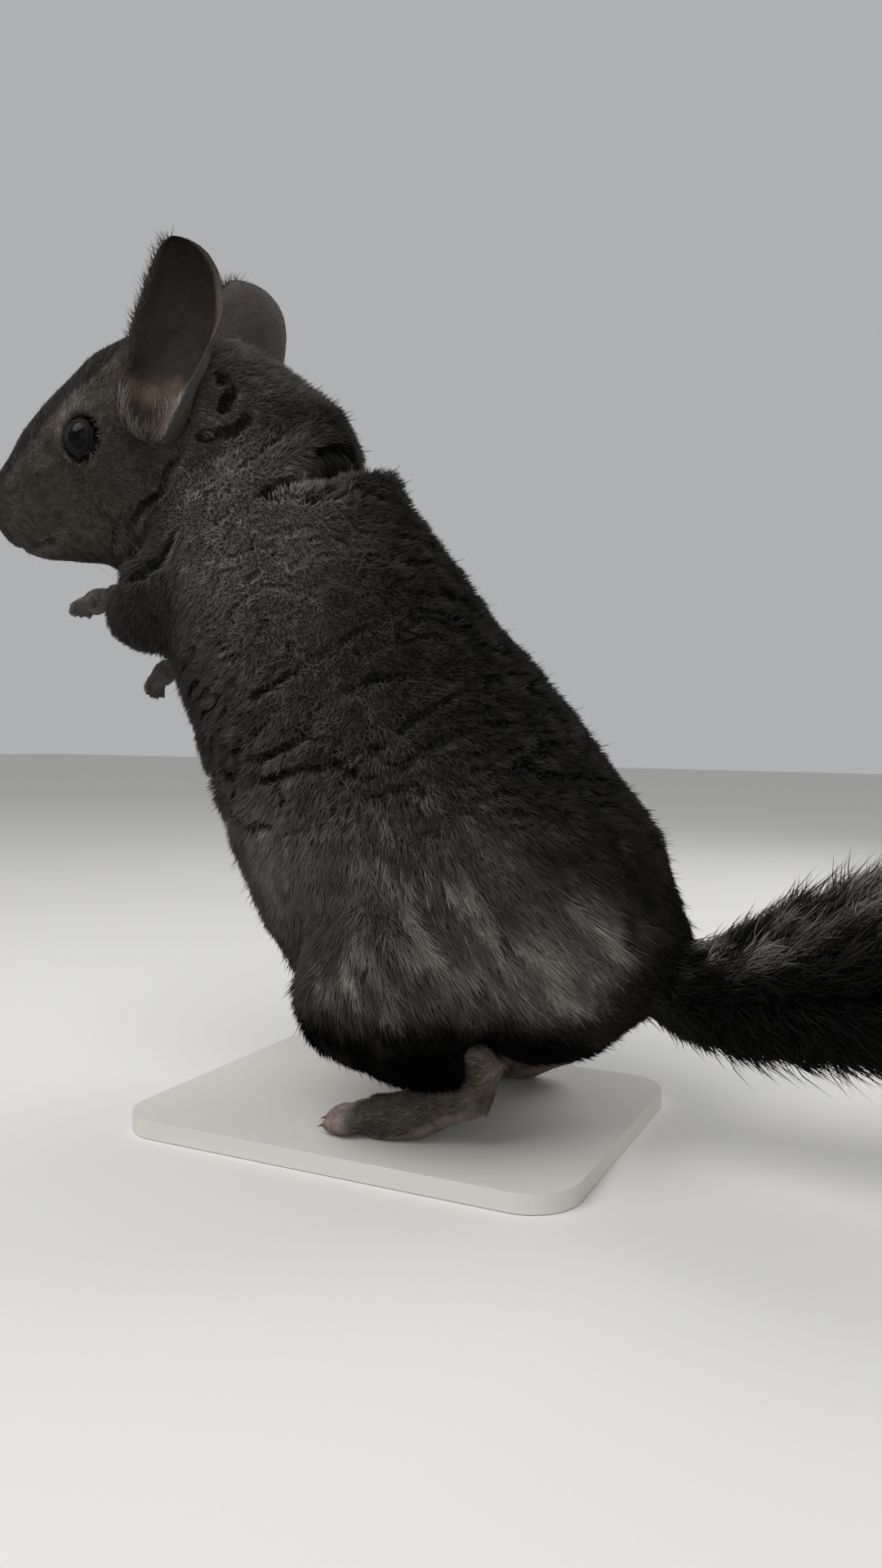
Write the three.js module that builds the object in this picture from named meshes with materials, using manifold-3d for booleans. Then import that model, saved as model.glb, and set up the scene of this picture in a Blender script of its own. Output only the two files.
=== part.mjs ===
// An ebony chinchilla standing up on its hind legs, life size, in millimetres with +Z up.
// It faces -Y and its left side is +X. The solids are the animal's outer form, out to the tips of the coat.
// The trunk is one swept form from the rump to the shoulders, the neck and head are a second one that turns a
// little to the left, and both are parted by thin cuts. The limbs, ears, eyes, nose and tail are set on them.
import * as THREE from "three";
import { mergeVertices } from "three/addons/utils/BufferGeometryUtils.js";
import Module from "manifold-3d";

const wasm = await Module();
wasm.setup();

// Driving dimensions
const GAP = 0.3; // clear space between pieces parted by a plane cut
const CLEAR = 0.6; // clear space where one curved piece sits on another
const HEAD_PIVOT = new THREE.Vector3(4, -92, 196); // middle of the skull, between the ears and the eyes
const HEAD_TURN = 18; // degrees that the head looks to the left
const HEAD_DROP = 15; // degrees that the nose points down
const HEAD_ROLL = 6; // degrees that the left ear leans down
const EYE_RADIUS = 7;
const EYE_PLACE = new THREE.Vector3(25.5, 23, 5); // forward, sideways and up from the middle of the skull
const EAR_WIDTH = 32;
const EAR_THICKNESS = 1.8;
const TAIL_BEND = 7; // how far the tail's tip swings to the right
const BASE = { width: 104, length: 132, thickness: 5, corner: 14, middle: -18 }; // the plate under the feet

// Coat colours of the solids
const COAT = { back: 0x2b2a2b, flank: 0x4a4948, belly: 0x57524e, tail: 0x161516 };
const EAR_SKIN = 0x6a5c58;
const FOOT_SKIN = 0x7d726f;
const NOSE_SKIN = 0x4c4140;
const BASE_PAINT = 0xd9d6cf;

const vec = (x, y, z) => new THREE.Vector3(x, y, z);
const radians = THREE.MathUtils.degToRad;

// Catmull-Rom value at t from 0 to 1 through evenly spaced numbers.
function through(values, t) {
  const place = t * (values.length - 1);
  const at = (i) => values[THREE.MathUtils.clamp(i, 0, values.length - 1)];
  const i = Math.min(Math.floor(place), values.length - 2);
  const u = place - i;
  const [a, b, c, d] = [at(i - 1), at(i), at(i + 1), at(i + 2)];
  return b + 0.5 * u * (c - a + u * (2 * a - 5 * b + 4 * c - d + u * (3 * (b - c) + d - a)));
}

// A closed form swept along a smooth line through the stations. Each station has its centre and half sizes:
// side is half the width, up and down are the reach to the back and to the belly.
// The first and last stations are the two tips, and grow makes the whole form larger all round.
function sweep(stations, { rings = 24, sides = 24, hint = vec(0, 0, 1), grow = 0 } = {}) {
  const line = new THREE.CatmullRomCurve3(stations.map((s) => s.at));
  const size = (key, t) => Math.max(through(stations.map((s) => s[key] ?? s.side), t), 0.05) + grow;
  const points = [];
  for (let i = 0; i <= rings; i++) {
    // rings crowd together near both tips, where the form rounds off
    const swing = Math.cos((Math.PI * i) / rings);
    const t = 0.5 - 0.5 * swing * (0.75 + 0.25 * Math.abs(swing));
    const centre = line.getPoint(t);
    const along = line.getTangent(t);
    if (i === 0 || i === rings) {
      points.push(centre.clone().addScaledVector(along, i === 0 ? -grow : grow));
      continue;
    }
    const across = hint.clone().cross(along).normalize();
    const back = along.clone().cross(across).normalize();
    for (let j = 0; j < sides; j++) {
      const turn = (2 * Math.PI * j) / sides;
      const [c, s] = [Math.cos(turn), Math.sin(turn)];
      const reachSide = size("side", t) * c;
      const reachBack = size(s > 0 ? "up" : "down", t) * s;
      points.push(centre.clone().addScaledVector(across, reachSide).addScaledVector(back, reachBack));
    }
  }
  const index = [];
  const ring = (i, j) => 1 + (i - 1) * sides + (j % sides);
  for (let j = 0; j < sides; j++) {
    index.push(0, ring(1, j + 1), ring(1, j));
    for (let i = 1; i < rings - 1; i++) {
      index.push(ring(i, j), ring(i, j + 1), ring(i + 1, j));
      index.push(ring(i, j + 1), ring(i + 1, j + 1), ring(i + 1, j));
    }
    index.push(points.length - 1, ring(rings - 1, j), ring(rings - 1, j + 1));
  }
  return new THREE.BufferGeometry().setFromPoints(points).setIndex(index);
}

// A simple limb: a sweep through [x, y, z, radius] places with round ends.
function limb(places, options = {}) {
  const stations = places.map(([x, y, z, side]) => ({ at: vec(x, y, z), side }));
  return sweep(stations, { rings: 12, sides: 12, ...options });
}

function solid(geometry) {
  const bare = new THREE.BufferGeometry().setAttribute("position", geometry.getAttribute("position").clone());
  if (geometry.index) bare.setIndex(geometry.index.clone());
  const merged = mergeVertices(bare, 1e-4);
  const made = new wasm.Manifold(
    new wasm.Mesh({
      numProp: 3,
      vertProperties: new Float32Array(merged.attributes.position.array),
      triVerts: new Uint32Array(merged.index.array),
    }),
  );
  return made.simplify(0.08);
}

// The largest body of a cut solid: a cut can leave loose slivers.
function largest(made) {
  return made.decompose().sort((a, b) => b.volume() - a.volume())[0];
}

// The mesh of a solid, with very short edges closed up.
function node(name, made, color, roughness = 0.9) {
  const body = largest(made).simplify(0.06);
  const { vertProperties, triVerts, numProp } = body.getMesh();
  const position = new Float32Array((vertProperties.length / numProp) * 3);
  for (let i = 0; i * numProp < vertProperties.length; i++) {
    position.set(vertProperties.subarray(i * numProp, i * numProp + 3), i * 3);
  }
  const geometry = new THREE.BufferGeometry()
    .setAttribute("position", new THREE.BufferAttribute(position, 3))
    .setIndex(new THREE.BufferAttribute(triVerts, 1));
  geometry.computeVertexNormals();
  const mesh = new THREE.Mesh(geometry, new THREE.MeshStandardMaterial({ color, roughness, metalness: 0 }));
  mesh.name = name;
  return mesh;
}

// A box that fills one side of a plane, for parting a form by its cuts.
const HUGE = 500;
function halfSpace(point, direction) {
  const box = new THREE.BoxGeometry(HUGE, HUGE, HUGE).translate(0, 0, HUGE / 2);
  const turn = new THREE.Quaternion().setFromUnitVectors(vec(0, 0, 1), direction.clone().normalize());
  box.applyQuaternion(turn).translate(point.x, point.y, point.z);
  return solid(box);
}

// Parts a form by planes, in order along a direction, with a gap at each. Returns one more piece than cuts.
function part(form, cuts) {
  const pieces = [];
  let rest = form;
  for (const { at, toward } of cuts) {
    const direction = toward.clone().normalize();
    pieces.push(rest.subtract(halfSpace(at, direction)));
    rest = rest.intersect(halfSpace(at.clone().addScaledVector(direction, GAP), direction));
  }
  return [...pieces, rest];
}

// The trunk, from the rump up to the shoulders
const TRUNK = [
  { at: vec(0, 5, 20), side: 0 },
  { at: vec(0, 7, 25), side: 20, up: 26, down: 17 },
  { at: vec(0, 9, 34), side: 37, up: 41, down: 32 },
  { at: vec(0, 9, 43), side: 45, up: 54, down: 42 },
  { at: vec(0, 7, 52), side: 50, up: 55.5, down: 48 },
  { at: vec(0, -3, 68), side: 54, up: 53.5, down: 54 },
  { at: vec(0, -19, 88), side: 53, up: 53.5, down: 53 },
  { at: vec(0, -33, 107), side: 50, up: 51, down: 49 },
  { at: vec(0, -46, 126), side: 46, up: 49.5, down: 45 },
  { at: vec(0, -59, 144), side: 42, up: 48.5, down: 41 },
  { at: vec(0, -71, 160), side: 38, up: 49, down: 37 },
  { at: vec(0, -81, 174), side: 32, up: 43, down: 30 },
  { at: vec(0, -88, 184), side: 20, up: 28, down: 18 },
  { at: vec(0, -92, 190), side: 0 },
];
const trunkForm = (grow = 0) => solid(sweep(TRUNK, { rings: 22, sides: 24, hint: vec(0, 1, 0.6), grow }));

// The head's own frame: forward, left and up from the middle of the skull
const headFrame = new THREE.Matrix4()
  .makeRotationZ(radians(HEAD_TURN))
  .multiply(new THREE.Matrix4().makeRotationX(radians(HEAD_DROP)))
  .multiply(new THREE.Matrix4().makeRotationY(radians(HEAD_ROLL)))
  .setPosition(HEAD_PIVOT);
const inHead = (forward, left, up) => vec(left, -forward, up).applyMatrix4(headFrame);
const headDirection = (forward, left, up) => inHead(forward, left, up).sub(HEAD_PIVOT);

// Head and neck, from the loose fold of the nape to the nose: forward, middle height, then half sizes
const HEAD = [
  { forward: -50, mid: -17, side: 0 },
  { forward: -46, mid: -16, side: 14, up: 8, down: 12 },
  { forward: -34, mid: -11, side: 25, up: 17.5, down: 23 },
  { forward: -19, mid: -5, side: 31, up: 26, down: 30 },
  { forward: -4, mid: 1, side: 32, up: 32, down: 35 },
  { forward: 11, mid: 2, side: 31, up: 34, down: 43 },
  { forward: 25, mid: 1, side: 28, up: 30, down: 41 },
  { forward: 38, mid: 0, side: 24, up: 24, down: 34 },
  { forward: 49, mid: -3, side: 20, up: 19, down: 24 },
  { forward: 58, mid: -5, side: 17, up: 14.5, down: 16.5 },
  { forward: 65, mid: -7, side: 12.5, up: 11, down: 11.5 },
  { forward: 69, mid: -7.5, side: 0 },
].map(({ forward, mid, ...sizes }) => ({ at: inHead(forward, 0, mid), ...sizes }));
const headUp = headDirection(0, 0, 1);
const headForm = (grow = 0) => solid(sweep(HEAD, { rings: 20, sides: 21, hint: headUp, grow }));

// The tail: a brush of long hair that widens from its root and lifts at the tip
const TAIL = [
  [0, 34, 50, 0],
  [0, 40, 47, 7],
  [0, 52, 43, 10.5],
  [0, 66, 40, 13],
  [0.02, 80, 41, 17],
  [0.08, 95, 45, 20.5],
  [0.18, 111, 49, 22.5],
  [0.35, 128, 55, 22.5],
  [0.55, 144, 62, 19.5],
  [0.78, 158, 69, 14],
  [0.93, 168, 75, 7],
  [1, 172, 78, 0],
].map(([swing, y, z, side]) => ({
  at: vec(-TAIL_BEND * swing, y, z),
  side,
  up: side * 1.06,
  down: side * 0.98,
}));
const tailForm = () => solid(sweep(TAIL, { rings: 22, sides: 16 }));

// Hind legs: each is a thigh against the trunk, a shank, and a foot on its toes. mirror is 1 left, -1 right.
const HIND = {
  left: {
    mirror: 1,
    hip: [27, 6, 58],
    knee: [37, -13, 39],
    ankle: [31, 14, 21],
    heel: [29, 19, 17],
    ball: [31, -4, 5],
    toes: [33, -17, 4],
  },
  right: {
    mirror: -1,
    hip: [-27, 18, 58],
    knee: [-36, -6, 36],
    ankle: [-35, 20, 20],
    heel: [-35, 21, 14],
    ball: [-34, 4, 5],
    toes: [-33, -8, 4],
  },
};

function thigh({ hip, knee }) {
  const places = [
    [hip[0], hip[1] + 16, hip[2] + 14, 0],
    [hip[0], hip[1] + 12, hip[2] + 10, 14],
    [...hip, 27],
    [(hip[0] + knee[0]) / 2, (hip[1] + knee[1]) / 2, (hip[2] + knee[2]) / 2, 29],
    [...knee, 23],
    [knee[0], knee[1] - 12, knee[2] - 6, 13],
    [knee[0], knee[1] - 17, knee[2] - 9, 0],
  ];
  return solid(limb(places, { rings: 12, sides: 16, hint: vec(1, 0, 0) }));
}

function shank({ knee, ankle }) {
  const at = (share, drop, radius) => [
    ...knee.map((k, i) => k + (ankle[i] - k) * share + (i === 2 ? drop : 0)),
    radius,
  ];
  const places = [
    at(-0.1, 0, 0),
    at(0, -1, 11),
    at(0.3, -3, 14),
    at(0.6, -3, 12),
    at(0.85, -1, 9),
    at(1.05, 0, 6.5),
    at(1.18, 0, 0),
  ];
  return solid(limb(places));
}

function sole({ ankle, heel, ball, toes }, grow = 0) {
  return solid(limb([
    [ankle[0], ankle[1] + 1, ankle[2] + 8, 0],
    [ankle[0], ankle[1] + 1, ankle[2] + 5, 4.5],
    [...heel, 6.5],
    [(heel[0] + ball[0]) / 2, (heel[1] + ball[1]) / 2, (heel[2] + ball[2]) / 2 - 0.5, 6.2],
    [...ball, 6.6],
    [ball[0] * 0.4 + toes[0] * 0.6, ball[1] * 0.4 + toes[1] * 0.6, 4.2, 6],
    [...toes, 0],
  ], { hint: vec(1, 0, 0), grow }));
}

function hindFoot(hind) {
  const { mirror, ball, toes } = hind;
  const spread = [-1, 0, 1]; // three long toes, the middle one the longest
  const toesMade = spread.map((side) => {
    const out = mirror * side;
    const tip = [toes[0] + out * 5.5, toes[1] - (side === 0 ? 5 : 2.5), 3.2];
    return solid(limb([
      [ball[0] + out * 2, ball[1] - 4, 5, 0],
      [ball[0] + out * 3, ball[1] - 6, 5, 3.2],
      [(ball[0] + tip[0]) / 2 + out, (ball[1] + tip[1]) / 2 - 2, 4.8, 3.4],
      [tip[0], tip[1] + 1, 3.4, 3.6],
      [tip[0], tip[1] - 3.5, 2.2, 1.6],
      [tip[0], tip[1] - 5, 1.8, 0],
    ], { rings: 7, sides: 7, hint: vec(1, 0, 0) }));
  });
  return wasm.Manifold.union([sole(hind), ...toesMade]).intersect(halfSpace(vec(0, 0, 0), vec(0, 0, 1)));
}

// Forelegs: the upper arm lies under the coat, the forearm reaches forward and the paw is bent at the wrist
const FORE = {
  left: {
    shoulder: [27, -82, 150],
    elbow: [29, -92, 140],
    wrist: [24, -107, 147],
    reach: vec(0.05, -1, -0.12),
    palm: vec(0, -0.1, -1),
  },
  right: {
    shoulder: [-20, -86, 146],
    elbow: [-19, -100, 134],
    wrist: [-15, -115, 131],
    reach: vec(0.1, -0.75, -0.72),
    palm: vec(0, 0.7, -0.7),
  },
};

function foreleg({ shoulder, elbow, wrist }, grow = 0) {
  const middle = elbow.map((e, i) => (e + wrist[i]) / 2);
  const places = [
    [shoulder[0], shoulder[1] + 8, shoulder[2] + 6, 0],
    [...shoulder, 15],
    [...elbow, 12],
    [...middle, 7.5],
    [...wrist, 4.2],
    [wrist[0], wrist[1] - 2.5, wrist[2], 0],
  ];
  return solid(limb(places, { grow, hint: vec(1, 0, 0) }));
}

function forepaw({ wrist, reach, palm }) {
  const out = reach.clone().normalize();
  const down = palm.clone().addScaledVector(out, -palm.dot(out)).normalize();
  const side = out.clone().cross(down).normalize();
  const place = (along, across, drop, radius) => {
    const p = vec(...wrist).addScaledVector(out, along);
    p.addScaledVector(side, across).addScaledVector(down, drop);
    return [p.x, p.y, p.z, radius];
  };
  const options = { rings: 6, sides: 7, hint: side };
  const pad = solid(limb([
    place(1.2, 0, 0, 0),
    place(2.5, 0, 0, 3),
    place(6, 0, 0.3, 4.3),
    place(9.5, 0, 0.8, 3.8),
    place(11.5, 0, 1, 0),
  ], options));
  const fingers = [-1.5, -0.5, 0.5, 1.5].map((n) => {
    const long = 5.5 - Math.abs(n);
    return solid(limb([
      place(7, n * 1.7, 0, 0),
      place(8.5, n * 2, 0, 1.5),
      place(9 + long * 0.6, n * 2.5, 0.4, 1.6),
      place(9.5 + long, n * 2.8, 2.2, 1.5),
      place(10 + long, n * 2.8, 4.2, 0.9),
      place(10 + long, n * 2.8, 5, 0),
    ], { ...options, sides: 5 }));
  });
  return wasm.Manifold.union([pad, ...fingers]);
}

// The ears: foot, tip and the way each hollow faces, as forward, left and up from the middle of the skull
const EARS = {
  left: { foot: [0, 25, -1], tip: [-18, 33, 48], facing: [0.3, 1, 0.15] },
  right: { foot: [-5, -25, 0], tip: [-22, -33, 53], facing: [0.6, -0.8, 0.15] },
};

// An ear: a thin upright leaf, rolled round at its foot and open to the side at its rounded tip
function ear({ foot: footAt, tip: tipAt, facing }) {
  const [rows, columns] = [11, 9];
  const foot = inHead(...footAt);
  const rise = inHead(...tipAt).sub(foot);
  const long = rise.length();
  rise.normalize();
  const open = headDirection(...facing).normalize();
  open.addScaledVector(rise, -open.dot(rise)).normalize();
  const across = rise.clone().cross(open).normalize();
  const points = [];
  for (const layer of [0.5, -0.5]) {
    for (let i = 0; i <= rows; i++) {
      // rows crowd at the tip, where the leaf rounds off
      const t = Math.sin((Math.PI / 2) * (i / rows) ** 0.9);
      const wide = THREE.MathUtils.lerp(0.62, 1, THREE.MathUtils.smoothstep(t, 0, 0.65));
      const half = 0.5 * EAR_WIDTH * wide * Math.sqrt(1.002 - t ** 5);
      const roll = THREE.MathUtils.lerp(2.0, 0.5, Math.min(1, t * 1.4));
      const radius = half / Math.sin(Math.min(roll, Math.PI / 2));
      for (let j = 0; j <= columns; j++) {
        const angle = roll * (2 * (j / columns) - 1);
        const reach = radius + layer * EAR_THICKNESS;
        points.push(
          foot.clone()
            .addScaledVector(rise, t * long)
            .addScaledVector(across, reach * Math.sin(angle))
            .addScaledVector(open, radius * 0.6 - reach * Math.cos(angle)),
        );
      }
    }
  }
  const index = [];
  const at = (layer, i, j) => layer * (rows + 1) * (columns + 1) + i * (columns + 1) + j;
  const quad = (a, b, c, d) => index.push(a, c, b, a, d, c);
  for (let i = 0; i < rows; i++) {
    for (let j = 0; j < columns; j++) {
      quad(at(0, i, j), at(0, i, j + 1), at(0, i + 1, j + 1), at(0, i + 1, j));
      quad(at(1, i, j), at(1, i + 1, j), at(1, i + 1, j + 1), at(1, i, j + 1));
    }
    quad(at(0, i, 0), at(0, i + 1, 0), at(1, i + 1, 0), at(1, i, 0));
    quad(at(0, i, columns), at(1, i, columns), at(1, i + 1, columns), at(0, i + 1, columns));
  }
  for (let j = 0; j < columns; j++) {
    quad(at(0, 0, j), at(1, 0, j), at(1, 0, j + 1), at(0, 0, j + 1));
    quad(at(0, rows, j), at(0, rows, j + 1), at(1, rows, j + 1), at(1, rows, j));
  }
  return new THREE.BufferGeometry().setFromPoints(points).setIndex(index);
}

const ball = (centre, radius, grow = 0) =>
  solid(new THREE.SphereGeometry(radius + grow, 12, 9).translate(centre.x, centre.y, centre.z));

// The plate that the feet are fixed to
function basePlate({ width, length, thickness, corner, middle }) {
  const [w, l] = [width / 2 - corner, length / 2 - corner];
  const outline = new THREE.Shape()
    .absarc(w, l, corner, 0, Math.PI / 2)
    .absarc(-w, l, corner, Math.PI / 2, Math.PI)
    .absarc(-w, -l, corner, Math.PI, 1.5 * Math.PI)
    .absarc(w, -l, corner, 1.5 * Math.PI, 2 * Math.PI);
  const options = { depth: thickness, bevelEnabled: false, curveSegments: 8 };
  const plate = new THREE.ExtrudeGeometry(outline, options);
  return solid(plate.translate(0, middle, -thickness));
}

// Assemble: each piece gives way to the one it sits on, with the gap left clear
const group = new THREE.Group();
const add = (name, made, color, roughness) => group.add(node(name, made, color, roughness));

const trunk = trunkForm();
const trunkClear = wasm.Manifold.union([
  trunkForm(CLEAR),
  trunk.translate([0, CLEAR / 2, -CLEAR]),
  trunk.translate([0, -CLEAR / 2, CLEAR]),
]);
const eyesAt = [1, -1].map((m) => inHead(EYE_PLACE.x, m * EYE_PLACE.y, EYE_PLACE.z));
const [eyeLeft, eyeRight] = eyesAt.map((at) => ball(at, EYE_RADIUS));
const [socketLeft, socketRight] = eyesAt.map((at) => ball(at, EYE_RADIUS, GAP));
const noseAt = inHead(65, 0, -1.5);
const nose = ball(noseAt, 4.2);

const headWhole = headForm()
  .subtract(trunkClear)
  .subtract(socketLeft)
  .subtract(socketRight)
  .subtract(ball(noseAt, 4.2, GAP));
const [neck, head] = part(headWhole, [{ at: inHead(-17, 0, 0), toward: headDirection(1, 0, 0.25) }]);
const [rump, belly, chest] = part(trunk, [
  { at: vec(0, -12, 60), toward: vec(0, -0.35, 1) },
  { at: vec(0, -40, 112), toward: vec(0, -0.6, 1) },
]);
add("rump", rump, COAT.back);
add("belly", belly, COAT.flank);
add("chest", chest, COAT.flank);
add("neck", neck, COAT.flank);
add("head", head, COAT.flank);
add("nose", nose, NOSE_SKIN, 0.5);
add("eye_left", eyeLeft, 0x050505, 0.1);
add("eye_right", eyeRight, 0x050505, 0.1);

const headClear = headForm(CLEAR);
for (const side of ["left", "right"]) {
  add("ear_" + side, solid(ear(EARS[side])).subtract(headClear), EAR_SKIN, 0.7);
  const hind = HIND[side];
  const foot = hindFoot(hind).subtract(trunkClear);
  const leg = wasm.Manifold.union([thigh(hind), shank(hind)]);
  add("hind_foot_" + side, foot, FOOT_SKIN);
  add("hind_leg_" + side, leg.subtract(trunkClear).subtract(sole(hind, CLEAR)), COAT.flank);
  const fore = FORE[side];
  add("foreleg_" + side, foreleg(fore).subtract(trunkClear).subtract(headClear), COAT.belly);
  add("forepaw_" + side, forepaw(fore).subtract(foreleg(fore, CLEAR)), FOOT_SKIN);
}
const [tailRoot, tailMiddle, tailTip] = part(tailForm().subtract(trunkClear), [
  { at: vec(0, 92, 44), toward: vec(0, 1, 0.2) },
  { at: vec(0, 132, 56), toward: vec(0, 1, 0.4) },
]);
add("tail_root", tailRoot, COAT.tail);
add("tail_middle", tailMiddle, COAT.tail);
add("tail_tip", tailTip, COAT.tail);

add("stand_base", basePlate(BASE), BASE_PAINT, 0.6);

// The frame's origin is at floor level, under the middle of the whole
const bounds = new THREE.Box3().setFromObject(group);
const middle = bounds.getCenter(vec(0, 0, 0));
for (const mesh of group.children) mesh.geometry.translate(-middle.x, -middle.y, -bounds.min.z);

export default group;
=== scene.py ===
"""A life-size dark grey chinchilla that stands on its hind legs: skin, coat, ears, eyes, whiskers and claws.

Places are in millimetres in the animal's own frame: it faces -Y, its left side is +X and its feet stand
at z = 0. in_frame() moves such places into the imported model's frame, in metres.
"""

import math

import bpy
import numpy as np
from mathutils import Matrix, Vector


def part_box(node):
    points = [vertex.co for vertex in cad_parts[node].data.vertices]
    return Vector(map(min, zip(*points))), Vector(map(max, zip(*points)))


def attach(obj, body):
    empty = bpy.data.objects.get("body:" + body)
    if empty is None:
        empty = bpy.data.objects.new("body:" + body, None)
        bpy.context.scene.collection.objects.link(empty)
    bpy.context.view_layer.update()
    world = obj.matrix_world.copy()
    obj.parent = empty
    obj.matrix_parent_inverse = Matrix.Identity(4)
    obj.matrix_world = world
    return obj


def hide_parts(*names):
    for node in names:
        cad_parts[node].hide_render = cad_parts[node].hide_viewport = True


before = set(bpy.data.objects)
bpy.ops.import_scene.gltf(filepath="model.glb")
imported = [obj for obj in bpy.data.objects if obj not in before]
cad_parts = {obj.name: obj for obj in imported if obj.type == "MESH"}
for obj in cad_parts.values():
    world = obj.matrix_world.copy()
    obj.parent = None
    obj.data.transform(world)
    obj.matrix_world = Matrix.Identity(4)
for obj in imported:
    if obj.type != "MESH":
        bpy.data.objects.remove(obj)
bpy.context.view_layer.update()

MM = 0.001
RNG = np.random.default_rng(2956)

# The animal's frame: its feet stand on the base, whose middle is at y = -18
base_low, base_high = (np.array(c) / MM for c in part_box("stand_base"))
ORIGIN = np.array([(base_low[0] + base_high[0]) / 2, (base_low[1] + base_high[1]) / 2 + 18, base_high[2]])


def in_frame(places):
    return (np.asarray(places) + ORIGIN) * MM


def turn(axis, degrees):
    return np.array(Matrix.Rotation(math.radians(degrees), 3, axis))


# The head's frame: forward, left and up from the middle of the skull
HEAD_PIVOT = np.array([4, -92, 196.0])
HEAD_AXES = turn("Z", 18) @ turn("X", 15) @ turn("Y", 6)
BALL_RADIUS = 6.1
EYE_PLACE = (25.5, 23, 5)

# Sizes in mm: the remeshed skin's cells, the spacing along folds and the clumps that tufts lean into
SKIN_CELL = 1.5
PAW_CELL = 0.74
FOLD_STEP = 0.8
CLUMP_SIZE = 2.0
SKIN_DEPTH = 0.92  # share of the coat's rise that the skin lies inside the outline
TRUNK_TUFTS = 3.1
FACE_TUFTS = 2.6
SNOUT_TUFTS = 2.0
TAIL_TUFTS = 2.6
PAW_TUFTS = 7.0


def head_way(forward, left, up):
    return HEAD_AXES @ np.array([left, -forward, up])


def in_head(forward, left, up):
    return HEAD_PIVOT + head_way(forward, left, up)


def to_head(places):
    """Places as forward, left and up columns of the head's frame."""
    local = (places - HEAD_PIVOT) @ HEAD_AXES
    return np.stack([-local[:, 1], local[:, 0], local[:, 2]], 1)


def unit(v):
    return v / np.maximum(np.linalg.norm(v, axis=-1, keepdims=True), 1e-9)


def ease(x, low, high):
    """0 below low, 1 above high and a smooth step between them."""
    t = np.clip((x - low) / (high - low), 0, 1)
    return t * t * (3 - 2 * t)


def blob(places, centre, radius):
    """A round soft spot: 1 at the centre, falling with the squared distance to 0.02 at twice the radius."""
    return np.exp(-((places - np.asarray(centre)) ** 2).sum(1) / radius**2)


# Noise in space
def hashed(cell, seed, count=3):
    """Whole-number cells turned into count even random numbers each, by mixing their bits."""
    c = cell.astype(np.int64).astype(np.uint32)
    h = c[:, 0] * np.uint32(73856093) ^ c[:, 1] * np.uint32(19349663) ^ c[:, 2] * np.uint32(83492791)
    h ^= np.uint32(seed * 2654435761 % 2**32)
    out = np.empty((len(cell), count), np.float32)
    for k in range(count):
        h = (h ^ (h >> np.uint32(15))) * np.uint32(2246822519)
        h = (h ^ (h >> np.uint32(13))) * np.uint32(3266489917)
        h ^= h >> np.uint32(16)
        out[:, k] = h / np.float32(2**32)
    return out


def noise(places, size, seed):
    """Smooth noise from -1 to 1: random values at the corners of cells of this size, eased between them."""
    q = places / np.asarray(size, float)
    cell = np.floor(q)
    f = q - cell
    f = f * f * (3 - 2 * f)
    total = np.zeros(len(places))
    for corner in np.ndindex(2, 2, 2):
        weight = np.prod(np.where(corner, f, 1 - f), axis=1)
        total += weight * hashed(cell + corner, seed, 1)[:, 0]
    return 2 * total - 1


def cells(places, size, seed):
    """Way to the nearest of points jittered in cells of this size, margin to the second and its number."""
    size = np.asarray(size, float) * np.ones(3)
    q = places / size
    cell = np.floor(q)
    first = np.full(len(q), 1e9)
    second = first.copy()
    way = np.zeros_like(q)
    own = np.zeros(len(q))
    for step in np.ndindex(3, 3, 3):
        near = cell + np.array(step) - 1
        r = hashed(near, seed, 4)
        gap = near + r[:, :3] - q
        d = (gap**2).sum(1)
        closer = d < first
        second = np.where(closer, first, np.minimum(second, d))
        way[closer] = gap[closer]
        own[closer] = r[closer, 3]
        first = np.minimum(first, d)
    return way * size, np.sqrt(second) - np.sqrt(first), own


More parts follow.
